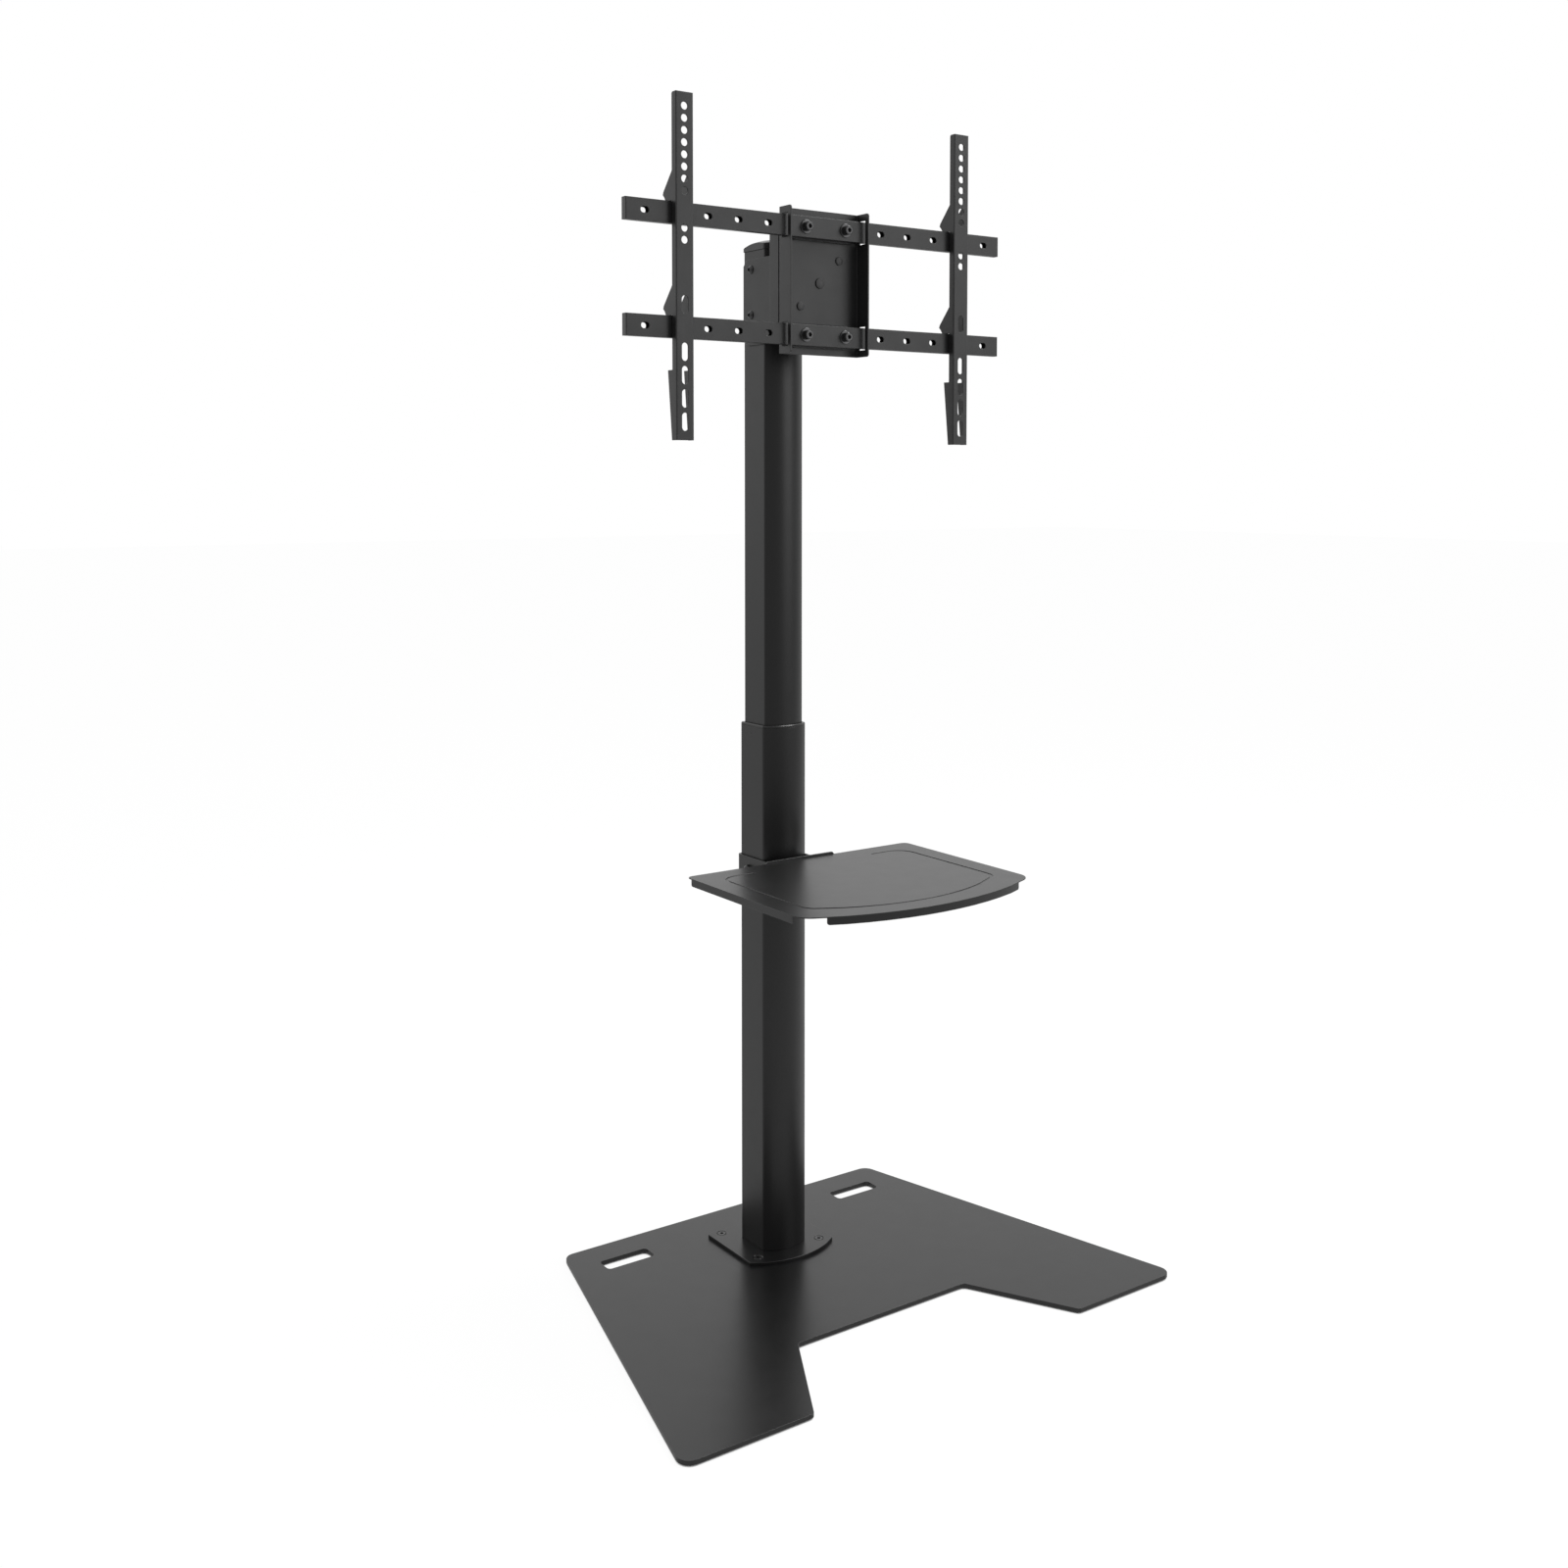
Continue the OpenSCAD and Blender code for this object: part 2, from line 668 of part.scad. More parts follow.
module turn_lock_screws() {
    color(black) translate([0, 0, head_z]) lock_spots() {
        forward_rod(turn_rear_y - clear - lock_screw_nut_h - thread_tail, tray_face_y, lock_size);
        forward_dome(tray_face_y, lock_screw_head_d, lock_screw_head_h);
    }
}

module turn_lock_nuts() {
    color(zinc) translate([0, 0, head_z]) lock_spots() difference() {
        forward_hex(turn_rear_y - clear - lock_screw_nut_h, turn_rear_y - clear, lock_screw_nut_s);
        forward_rod(turn_rear_y - lock_screw_nut_h - over, turn_rear_y + over, lock_size);
    }
}

// Mount tray: a channel with windows for the rails and a pressed pad behind each rail

window_gap = 2;
window_front = 4;
rail_bolt_size = 8;
tray_pad_margin = 8;
tray_pad_rise = 2.5;
tray_pad_w = tray_w - 2 * tray_pad_margin;
tray_pad_z = rail_h + 2 * tray_pad_rise;
tray_corner_r = 4;
rail_levels = [-rail_span / 2, rail_span / 2];

module rail_bolt_spots() {
    for (z = rail_levels, side = [-1, 1]) translate([side * rail_bolt_span / 2, 0, z]) children();
}

module tray_side() {
    rotate([90, 0, 90]) linear_extrude(height = sheet_t) polygon(rounded([
        [-tray_back_y, -tray_h / 2, 0], [-tray_edge_y, -tray_h / 2, tray_corner_r],
        [-tray_edge_y, tray_h / 2, tray_corner_r], [-tray_back_y, tray_h / 2, 0]]));
}

module mount_tray() {
    half = tray_w / 2;
    color(black) translate([0, 0, head_z]) difference() {
        union() {
            box([-half, -tray_face_y, -tray_h / 2], [half, -tray_back_y, tray_h / 2]);
            translate([-half, 0, 0]) tray_side();
            translate([half - sheet_t, 0, 0]) tray_side();
            for (z = rail_levels) forward_obround(tray_face_y, rail_back_y, tray_pad_w, tray_pad_z, 0, z);
        }
        for (z = rail_levels) {
            box([-half - over, -rail_front_y - window_front, z - rail_h / 2 - window_gap],
                [half + over, clear - rail_back_y, z + rail_h / 2 + window_gap]);
            forward_obround(tray_back_y - over, rail_back_y - sheet_t,
                tray_pad_w - 2 * sheet_t, tray_pad_z - 2 * sheet_t, 0, z);
        }
        rail_bolt_spots() forward_rod(tray_back_y - over, rail_back_y + over, rail_bolt_size);
        forward_rod(tray_back_y - over, tray_face_y + over, pivot_size);
        lock_spots() forward_rod(tray_back_y - over, tray_face_y + over, lock_size);
    }
}

// Rails: flat tubes closed by plugs, with slots at the usual widths between a screen's fixing holes

vesa_widths = [200, 300, 400, 600];
plug_rim_t = 1.2;
plug_l = 12;
plug_grip = 0.1;
rail_tube_half = rail_l / 2 - plug_rim_t;

module rail(z) {
    color(black) translate([0, 0, head_z + z]) difference() {
        box([-rail_tube_half, -rail_front_y, -rail_h / 2], [rail_tube_half, -rail_back_y, rail_h / 2]);
        box([-rail_tube_half - over, rail_wall - rail_front_y, rail_wall - rail_h / 2],
            [rail_tube_half + over, -rail_back_y - rail_wall, rail_h / 2 - rail_wall]);
        for (w = vesa_widths, side = [-1, 1])
            forward_obround(rail_back_y - over, rail_front_y + over, rail_slot_l, rail_slot_w, side * w / 2);
        for (side = [-1, 1])
            forward_rod(rail_back_y - over, rail_front_y + over, rail_bolt_size, side * rail_bolt_span / 2);
    }
}

module rail_plugs() {
    inset = rail_wall + plug_grip;
    color(plastic) translate([0, 0, head_z]) for (z = rail_levels, turn = [0, half_turn])
        translate([0, -rail_front_y + rail_d / 2, z]) rotate([0, turn, 0]) {
            box([rail_tube_half, -rail_d / 2, -rail_h / 2], [rail_l / 2, rail_d / 2, rail_h / 2]);
            box([rail_tube_half - plug_l, inset - rail_d / 2, inset - rail_h / 2],
                [rail_tube_half, rail_d / 2 - inset, rail_h / 2 - inset]);
        }
}

module top_rail() {
    rail(rail_span / 2);
}

module bottom_rail() {
    rail(-rail_span / 2);
}

washer_d = 20;
washer_t = 1.6;
rail_head_d = 13;
rail_head_h = 8;
rail_socket = 6;
rail_nut_s = 13;
rail_nut_h = 6.3;
pad_inner_y = rail_back_y - sheet_t;

module rail_washers() {
    color(black) translate([0, 0, head_z]) rail_bolt_spots() difference() {
        forward_rod(rail_front_y, rail_front_y + washer_t, washer_d);
        forward_rod(rail_front_y - over, rail_front_y + washer_t + over, rail_bolt_size);
    }
}

module rail_bolts() {
    seat = rail_front_y + washer_t;
    color(black) translate([0, 0, head_z]) rail_bolt_spots() difference() {
        union() {
            forward_rod(pad_inner_y - rail_nut_h, seat, rail_bolt_size);
            forward_rod(seat, seat + rail_head_h, rail_head_d);
        }
        forward_hex(seat + rail_head_h / 2, seat + rail_head_h + over, rail_socket);
    }
}

module rail_nuts() {
    color(zinc) translate([0, 0, head_z]) rail_bolt_spots() difference() {
        forward_hex(pad_inner_y - rail_nut_h, pad_inner_y, rail_nut_s);
        forward_rod(pad_inner_y - rail_nut_h - over, pad_inner_y + over, rail_bolt_size);
    }
}

// Arms: channels that hook over both rails, with a wedge at the foot of each side wall

hook_slope = 34;
hook_clear = 0.4;
hook_lift = 6;
tooth_w = 4.5;
tooth_l = 8;
hook_chin = 4;
wedge_d = 22.5;
wedge_top = 95;
arm_corner_r = 3;
arm_hole_count = 8;
arm_first_hole = 18.5;
arm_slot_count = 4;
arm_last_slot = 25;
arm_slot_w = 10;
lone_slot_z = -47;
lone_hole_levels = [55.5, 39.5];
arm_top_z = arm_rise;
arm_low_z = arm_rise - arm_l;

// Side wall of an arm as depth behind the arm's face and height above the head's middle
function hook_profile(rail_top) =
    let (back = arm_d + arm_clear + rail_d + hook_clear, seat = rail_top + hook_clear)
    let (chin = seat + hook_lift)
    [[arm_d, seat], [back, seat], [back, seat - tooth_l], [back + tooth_w / 2, seat - tooth_l],
        [back + tooth_w, seat], [hook_d - hook_chin, chin], [hook_d, chin + hook_chin],
        [hook_d - tooth_w / 3, chin + 2 * hook_chin], [arm_d, chin + hook_slope]];

arm_side_profile = concat(
    [[0, arm_low_z], [arm_d + tooth_w / 3, arm_low_z]],
    [[wedge_d, arm_low_z + wedge_top], [arm_d, arm_low_z + wedge_top]],
    hook_profile(rail_h / 2 - rail_span / 2),
    hook_profile(rail_h / 2 + rail_span / 2),
    corner_arc([arm_d, arm_low_z], [arm_d, arm_top_z], [0, arm_top_z], arm_corner_r),
    [[0, arm_top_z]]);

module arm_side(x) {
    translate([x, -arm_face_y, 0]) rotate([90, 0, 90]) linear_extrude(height = sheet_t)
        polygon(arm_side_profile);
}

module arm_slot(z) {
    translate([0, sheet_t + over - arm_face_y, z]) rotate([90, 0, 0]) {
        for (end = [-1, 1]) translate([0, end * (arm_slot_l - arm_slot_w) / 2, 0])
            cylinder(d = arm_slot_w, h = sheet_t + 2 * over);
        translate([-arm_slot_w / 2, -(arm_slot_l - arm_slot_w) / 2, 0])
            cube([arm_slot_w, arm_slot_l - arm_slot_w, sheet_t + 2 * over]);
    }
}

module arm_hole(z) {
    forward_rod(arm_face_y - sheet_t - over, arm_face_y + over, arm_hole_d, 0, z);
}

module arm(x) {
    color(black) translate([x, 0, head_z]) {
        difference() {
            union() {
                box([-arm_w / 2, -arm_face_y, arm_low_z], [arm_w / 2, sheet_t - arm_face_y, arm_top_z]);
                arm_side(-arm_w / 2);
                arm_side(arm_w / 2 - sheet_t);
            }
            for (i = [0:arm_hole_count - 1]) arm_hole(arm_top_z - arm_first_hole - i * arm_hole_pitch);
            for (z = lone_hole_levels) arm_hole(z);
            arm_slot(lone_slot_z);
            for (i = [0:arm_slot_count - 1]) arm_slot(arm_low_z + arm_last_slot + i * arm_slot_pitch);
        }
    }
}

module left_arm() {
    arm(-arm_x);
}

module right_arm() {
    arm(arm_x);
}

// Shelf: a pressed sheet with lips on three sides, on a bracket and a collar

shelf_rear_y = tube_front_y + shelf_gap;
shelf_front_r = 28;
shelf_rear_r = 10;
groove_corner_r = 28;
groove_side = 1.5;
lip_corner_r = 3;
shelf_under_z = shelf_z - shelf_t;

function shelf_outline(inset, front_r, rear_r) =
    let (half = shelf_w / 2 - inset, rear = -shelf_rear_y - inset)
    let (side = inset - shelf_rear_y - shelf_side_d)
    concat([[-half, rear, rear_r], [-half, side, front_r]],
        bow_points(half, side, shelf_bow),
        [[half, side, front_r], [half, rear, rear_r]]);

module shelf_sheet(z, thick, inset, front_r, rear_r) {
    translate([0, 0, z]) linear_extrude(height = thick)
        polygon(rounded(shelf_outline(inset, front_r, rear_r)));
}

lip_side_rear = 14;

// Band along the shelf's border, open at the rear where the bracket lies, with round ends
module shelf_band(z, thick, margin) {
    outer = shelf_border - margin;
    inner = shelf_border + groove_w + margin;
    outer_r = groove_corner_r + margin;
    inner_r = groove_corner_r - groove_w - margin;
    end_x = groove_gap / 2;
    difference() {
        shelf_sheet(z, thick, outer, outer_r, outer_r);
        shelf_sheet(z - over, thick + 2 * over, inner, inner_r, inner_r);
        box([-end_x, -shelf_rear_y - inner - over, z - over],
            [end_x, over - shelf_rear_y - outer, z + thick + over]);
    }
    for (side = [-1, 1]) translate([side * end_x, -shelf_rear_y - shelf_border - groove_w / 2, z])
        cylinder(d = groove_w + 2 * margin, h = thick);
}

// Outline of a lip of the shelf between two places, with its lower corners rounded
function lip_outline(a, b) = rounded([[a, shelf_z - shelf_t / 2, 0],
    [a, shelf_z - shelf_lip_h, lip_corner_r], [b, shelf_z - shelf_lip_h, lip_corner_r],
    [b, shelf_z - shelf_t / 2, 0]]);

module shelf_plate() {
    half = shelf_w / 2;
    side_front_y = shelf_rear_y + shelf_side_d - shelf_front_r * 3 / 5;
    lip_half = half - shelf_front_r * 6 / 5;
    color(satin) {
        difference() {
            union() {
                shelf_sheet(shelf_under_z, shelf_t, 0, shelf_front_r, shelf_rear_r);
                shelf_band(shelf_under_z - groove_d, shelf_t, groove_side);
            }
            shelf_band(shelf_z - groove_d, groove_d + over, 0);
        }
        for (side = [-1, 1]) translate([side * (half - shelf_t / 2) - shelf_t / 2, 0, 0])
            rotate([90, 0, 90]) linear_extrude(height = shelf_t)
                polygon(lip_outline(-side_front_y, -shelf_rear_y - lip_side_rear));
        intersection() {
            difference() {
                shelf_sheet(shelf_z - shelf_lip_h, shelf_lip_h - shelf_t / 2, 0,
                    shelf_front_r, shelf_rear_r);
                shelf_sheet(shelf_z - shelf_lip_h - over, shelf_lip_h + over, shelf_t,
                    shelf_front_r - shelf_t, shelf_rear_r - shelf_t);
            }
            translate([0, -shelf_rear_y - shelf_side_d / 2, 0]) rotate([90, 0, 0])
                linear_extrude(height = shelf_side_d / 2 + shelf_bow)
                    polygon(lip_outline(-lip_half, lip_half));
        }
    }
}

shelf_bracket_t = 3;
upstand_h = 3.2;
upstand_cut = 4;
shelf_arm_d = 190;
collar_gap = 0.3;
collar_t = 3;
collar_in_x = tube_w / 2 + collar_gap;
collar_out_x = collar_in_x + collar_t;
collar_bend_r = 6;
collar_rear_y = tube_rear_y + collar_gap + collar_t;
collar_drop = 5.5;
collar_top_z = shelf_z - collar_drop;
collar_low_z = collar_top_z - shelf_collar_h;
bracket_top_z = shelf_under_z;
upstand_z = shelf_z + upstand_h;
flange_end_z = bracket_top_z - shelf_bracket_t - upstand_cut;

module shelf_bracket() {
    half = shelf_bracket_w / 2;
    color(black) {
        translate([0, -shelf_rear_y, 0]) rotate([90, 0, half_turn]) linear_extrude(height = shelf_bracket_t)
            polygon([[-half, collar_low_z], [half, collar_low_z],
                [half, upstand_z - upstand_cut], [half - upstand_cut, upstand_z],
                [upstand_cut - half, upstand_z], [-half, upstand_z - upstand_cut]]);
        box([-half, -shelf_rear_y - shelf_arm_d, bracket_top_z - shelf_bracket_t],
            [half, -shelf_rear_y, bracket_top_z]);
        for (side = [-1, 1])
            translate([side * (half - shelf_bracket_t / 2) - shelf_bracket_t / 2, -shelf_rear_y, 0])
                rotate([90, 0, 90]) linear_extrude(height = shelf_bracket_t)
                    polygon([[0, bracket_top_z], [0, collar_low_z], [-upstand_cut, collar_low_z],
                        [-shelf_arm_d, flange_end_z], [-shelf_arm_d, bracket_top_z]]);
    }
}

shelf_lock_size = 6;
shelf_lock_y = 5;
shelf_lock_z = collar_top_z - shelf_collar_h * 2 / 5;
shelf_nut_s = 10;
shelf_nut_h = 4;
shelf_lock_head_d = 11;
shelf_lock_head_h = 4;

module shelf_lock_spots() {
    for (side = [-1, 1]) translate([0, -shelf_lock_y, shelf_lock_z]) rotate([0, side * 90, 0]) children();
}

// Outline of the collar's bent strip, filled, inset all round but at its open front
module collar_section(inset, front_y) {
    half = collar_out_x - inset;
    rear = collar_rear_y - inset;
    r = collar_bend_r - inset;
    for (side = [-1, 1]) translate([side * (half - r), rear - r]) circle(r = r);
    translate([-half, -front_y]) square([2 * half, rear - r + front_y]);
    translate([r - half, -front_y]) square([2 * (half - r), rear + front_y]);
}

module shelf_collar() {
    color(black) difference() {
        translate([0, 0, collar_low_z]) linear_extrude(height = shelf_collar_h)
            collar_section(0, shelf_rear_y - shelf_bracket_t);
        translate([0, 0, collar_low_z - over]) linear_extrude(height = shelf_collar_h + 2 * over)
            collar_section(collar_t, shelf_rear_y);
        shelf_lock_spots() cylinder(d = shelf_lock_size, h = tube_w);
    }
}

module shelf_lock_nuts() {
    color(black) shelf_lock_spots() difference() {
        translate([0, 0, collar_out_x]) cylinder(d = shelf_nut_s / cos(30), h = shelf_nut_h, $fn = 6);
        cylinder(d = shelf_lock_size, h = tube_w);
    }
}

module shelf_lock_screws() {
    seat = collar_out_x + shelf_nut_h;
    head_r = (shelf_lock_head_d * shelf_lock_head_d / 4 + shelf_lock_head_h * shelf_lock_head_h)
        / (2 * shelf_lock_head_h);
    color(black) shelf_lock_spots() {
        translate([0, 0, collar_in_x]) cylinder(d = shelf_lock_size, h = seat - collar_in_x);
        intersection() {
            translate([0, 0, seat]) cylinder(d = shelf_lock_head_d, h = shelf_lock_head_h);
            translate([0, 0, seat + shelf_lock_head_h - head_r]) sphere(r = head_r);
        }
    }
}

base_plate();
base_pads();
foot_flange();
foot_screws();
lower_tube();
guide_collar();
height_lock_nuts();
height_lock_bolts();
upper_tube();
slide_shoe();
end_cap();
clamp_bracket();
clamp_sleeves();
clamp_bolts();
clamp_cap_nuts();
turning_plate();
friction_disc();
pivot_bolt();
pivot_nut();
turn_lock_screws();
turn_lock_nuts();
mount_tray();
top_rail();
bottom_rail();
rail_plugs();
rail_washers();
rail_bolts();
rail_nuts();
left_arm();
right_arm();
shelf_plate();
shelf_bracket();
shelf_collar();
shelf_lock_nuts();
shelf_lock_screws();
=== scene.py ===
"""Looks of the television floor stand: finishes, rounded edges, fasteners and the studio.

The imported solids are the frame. Each operator dresses one piece, or one group of like pieces.
All lengths are in metres.
"""
import json
import math

import bmesh
import bpy
from mathutils import Euler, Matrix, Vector


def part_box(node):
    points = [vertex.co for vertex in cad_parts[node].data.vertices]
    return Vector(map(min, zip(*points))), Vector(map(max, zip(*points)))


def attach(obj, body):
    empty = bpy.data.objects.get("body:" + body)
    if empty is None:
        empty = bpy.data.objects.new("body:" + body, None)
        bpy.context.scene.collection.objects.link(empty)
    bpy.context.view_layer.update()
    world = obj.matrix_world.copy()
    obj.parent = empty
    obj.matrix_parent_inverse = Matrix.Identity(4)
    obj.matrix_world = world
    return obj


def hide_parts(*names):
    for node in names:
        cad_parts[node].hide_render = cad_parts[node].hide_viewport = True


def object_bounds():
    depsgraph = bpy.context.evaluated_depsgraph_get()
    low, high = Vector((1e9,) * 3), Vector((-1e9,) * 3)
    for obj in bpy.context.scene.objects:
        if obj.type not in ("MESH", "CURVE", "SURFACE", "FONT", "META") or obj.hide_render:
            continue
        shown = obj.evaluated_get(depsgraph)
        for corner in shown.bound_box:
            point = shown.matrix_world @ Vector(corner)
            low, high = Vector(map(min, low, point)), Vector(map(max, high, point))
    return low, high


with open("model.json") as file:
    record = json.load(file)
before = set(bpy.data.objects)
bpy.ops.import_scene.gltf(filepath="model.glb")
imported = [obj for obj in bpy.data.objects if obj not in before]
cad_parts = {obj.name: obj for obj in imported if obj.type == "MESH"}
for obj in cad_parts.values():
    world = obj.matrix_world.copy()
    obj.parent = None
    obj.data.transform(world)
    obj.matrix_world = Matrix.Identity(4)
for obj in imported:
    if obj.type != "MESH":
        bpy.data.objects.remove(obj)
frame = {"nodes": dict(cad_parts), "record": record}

bl_info = {
    "name": "Television floor stand",
    "version": (1, 0, 0),
    "blender": (4, 5, 0),
    "location": "View3D > Sidebar > Floor Stand",
    "description": "Dresses a television floor stand with finishes, fasteners and a studio",
    "category": "Object",
}

CAD_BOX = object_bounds()
MM = 0.001

# Ways in which a fastener's head can point
FORWARD = Euler((math.pi / 2, 0.0, 0.0))
BACKWARD = Euler((-math.pi / 2, 0.0, 0.0))
LEFTWARD = Euler((0.0, -math.pi / 2, 0.0))
UPWARD = Euler((0.0, 0.0, 0.0))

# A solid's corners this near are one, and its faces this flat to each other are one
MERGE_DISTANCE = 2e-6
FLAT_ANGLE = math.radians(0.6)

# Edges above this angle are rounded
SHARP_ANGLE = math.radians(28)

# Edges above these angles still shade sharp after the rounding
SMOOTH_ANGLE = math.radians(50)
RIM_SMOOTH_ANGLE = math.radians(35)
FASTENER_SMOOTH_ANGLE = math.radians(32)

# A spot this near to a plane lies on it, and an edge with this much of Z in it is upright
NEAR = 0.1 * MM
UPRIGHT = 0.9

# Roundings as shares of the sizes that the panel gives
TUBE_END_SHARE = 0.8
RAIL_EDGE_SHARE = 1.4
SCREW_HOLE_SHARE = 0.3
COLLAR_EDGE_SHARE = 0.2

# Finish of each of the shelf's pieces, and its rounding as a share of a cut edge's
SHELF_PIECES = {
    "shelf_plate": ("shelf", 0.6),
    "shelf_bracket": ("sheet", 0.9),
    "shelf_collar": ("sheet", 1.0),
}

# Roundings of the small pieces
PAD_ROUND = 0.6 * MM
DISC_ROUND = 0.5 * MM
CAP_ROUND = 0.4 * MM
PLUG_ROUND = 0.4 * MM
SHELF_LOCK_ROUND = 0.3 * MM

# Fasteners: shank radius and hexagon of the M8 size, and the sides and loops of their meshes
BOLT_RADIUS = 4 * MM
HEX_FLATS = 13 * MM
ROUND_SIDES = 48
SHANK_SIDES = 32
HEAD_RINGS = 8
HEAD_FILLS = 6
NUT_RINGS = 4

# Fasteners on the tray floor: head diameter, head height and shank diameter in mm, and how much
# of the head's height its rim takes under the crown
TRAY_SCREWS = {"pivot_bolt": (15, 2.4, 8), "turn_lock_screws": (12, 2, 6)}
TRAY_SCREW_RIM = 0.75

# Each powder coat's least and greatest roughness, from the middle one
COAT_GLOSS = {
    "plate": (-0.08, -0.05),
    "column": (-0.03, 0.01),
    "shelf": (-0.02, -0.005),
    "sheet": (0.0, 0.05),
    # edge is a lighter copy of the sheet coat for rounded edges, a painted highlight, and glossier
    # too
    "edge": (-0.1, -0.04),
}

# Noise values between which a finish's gloss goes from low to high
CLOUD_RANGE = (0.3, 0.7)

# The camera of the photograph, solved from the rails, the tray, the column and the base
CAMERA_PLACE = (-1.4469, -2.0976, 1.1809)
CAMERA_PITCH = 0.0550
CAMERA_YAW = 0.6121
CAMERA_LENS = 38.58
SENSOR_WIDTH = 36.0
CAMERA_SHIFT = (0.0002, -0.1335)

# The floor's matt share, and the painted contact shadow on it close under a piece: its samples,
# and the openness between which it fades out
FLOOR_COLOUR = (0.92, 0.92, 0.92, 1.0)
CONTACT_SHADOW_SAMPLES = 12
CONTACT_SHADOW_FADE = (0.1, 0.45)

# Y between which reflections go from the camera's side of the room to the backdrop's: of a place
# on the floor, and of a direction into the room
FLOOR_FADE = (-3.0, 1.0)
ROOM_FADE = (-1.0, 1.0)

# Lamps: place, then width and height
LAMP_TARGET = (0.0, 0.0, 0.9)
KEY_LAMP = ((1.9, -0.8, 3.5), (1.2, 2.0))
FILL_LAMP = ((2.3, -3.5, 2.1), (2.4, 2.4))


# shader node groups

def new_group(name, inputs, outputs):
    """Makes an empty shader group with float inputs and the given outputs."""
    group = bpy.data.node_groups.new(name, "ShaderNodeTree")
    for label, default in inputs:
        socket = group.interface.new_socket(label, in_out="INPUT", socket_type="NodeSocketFloat")
        socket.default_value = default
    for label, kind in outputs:
        group.interface.new_socket(label, in_out="OUTPUT", socket_type=kind)
    return group, group.nodes.new("NodeGroupInput"), group.nodes.new("NodeGroupOutput")


def grain_group(name, kind, height, values, scale, depth, gloss_range, clouds, strength,
                feature=None):
    """A finish's surface: a grain that bumps it and speckles its colour, and clouds in its gloss.

    kind, feature and values choose the grain's texture, and height names the texture's output.
    scale, depth and gloss_range are the group's defaults. clouds is the clouds' scale and detail,
    and strength is the bump's.
    """
    if name in bpy.data.node_groups:
        return bpy.data.node_groups[name]
    group, source, out = new_group(
        name,
        [("Grain Scale", scale), ("Grain Depth", depth),
         ("Gloss Low", gloss_range[0]), ("Gloss High", gloss_range[1])],
        [("Roughness", "NodeSocketFloat"), ("Normal", "NodeSocketVector"),
         ("Speckle", "NodeSocketFloat")])
    link = group.links.new
    place = group.nodes.new("ShaderNodeTexCoord")
    grain = group.nodes.new(kind)
    if feature:
        grain.feature = feature
    for label, value in values.items():
        grain.inputs[label].default_value = value
    cloud = group.nodes.new("ShaderNodeTexNoise")
    cloud.inputs["Scale"].default_value, cloud.inputs["Detail"].default_value = clouds
    gloss = group.nodes.new("ShaderNodeMapRange")
    gloss.inputs["From Min"].default_value, gloss.inputs["From Max"].default_value = CLOUD_RANGE
    bump = group.nodes.new("ShaderNodeBump")
    bump.inputs["Strength"].default_value = strength
    link(place.outputs["Object"], grain.inputs["Vector"])
    link(place.outputs["Object"], cloud.inputs["Vector"])
    link(source.outputs["Grain Scale"], grain.inputs["Scale"])
    link(source.outputs["Grain Depth"], bump.inputs["Distance"])
    link(source.outputs["Gloss Low"], gloss.inputs["To Min"])
    link(source.outputs["Gloss High"], gloss.inputs["To Max"])
    link(cloud.outputs["Fac"], gloss.inputs["Value"])
    link(grain.outputs[height], bump.inputs["Height"])
    link(gloss.outputs["Result"], out.inputs["Roughness"])
    link(bump.outputs["Normal"], out.inputs["Normal"])
    link(grain.outputs[height], out.inputs["Speckle"])
    return group


def powder_group():
    """Fine orange peel of a powder coat, with a faint cloudiness in its gloss."""
    return grain_group(
        "powder_coat_grain", "ShaderNodeTexNoise", "Fac", {"Detail": 2.0, "Roughness": 0.55},
        scale=1400.0, depth=0.01 * MM, gloss_range=(0.3, 0.4), clouds=(34.0, 3.0), strength=0.35)


def moulded_group():
    """Matt spark-eroded grain of a moulded plastic."""
    return grain_group(
        "moulded_grain", "ShaderNodeTexVoronoi", "Distance", {"Smoothness": 0.6},
        scale=900.0, depth=0.03 * MM, gloss_range=(0.45, 0.6), clouds=(60.0, 2.0), strength=0.5,
        feature="SMOOTH_F1")


def finish_material(name, group, colour, values, lighter, metallic=0.0):
    """A Principled finish: the group gives gloss and grain, and its speckles are lighter."""
    if name in bpy.data.materials:
        return bpy.data.materials[name]
    material = bpy.data.materials.new(name)
    material.use_nodes = True
    nodes, link = material.node_tree.nodes, material.node_tree.links.new
    surface = nodes["Principled BSDF"]
    surface.inputs["Metallic"].default_value = metallic
    grain = nodes.new("ShaderNodeGroup")
    grain.node_tree = group
    for label, value in values.items():
        grain.inputs[label].default_value = value
    tint = nodes.new("ShaderNodeMix")
    tint.data_type = "RGBA"
    tint.inputs["A"].default_value = (*colour, 1.0)
    tint.inputs["B"].default_value = (*[min(1.0, c * lighter) for c in colour], 1.0)
    link(grain.outputs["Speckle"], tint.inputs["Factor"])
    link(tint.outputs["Result"], surface.inputs["Base Color"])
    link(grain.outputs["Roughness"], surface.inputs["Roughness"])
    link(grain.outputs["Normal"], surface.inputs["Normal"])
    material.diffuse_color = (*colour, 1.0)
    return material


def powder_coat(name, colour, low, high):
    """Powder-coated steel, its gloss between the two roughness values."""
    depth = bpy.context.scene.stand_sizes.grain_depth
    return finish_material(
        name, powder_group(), colour,
        {"Grain Depth": depth, "Gloss Low": low, "Gloss High": high}, lighter=1.35)


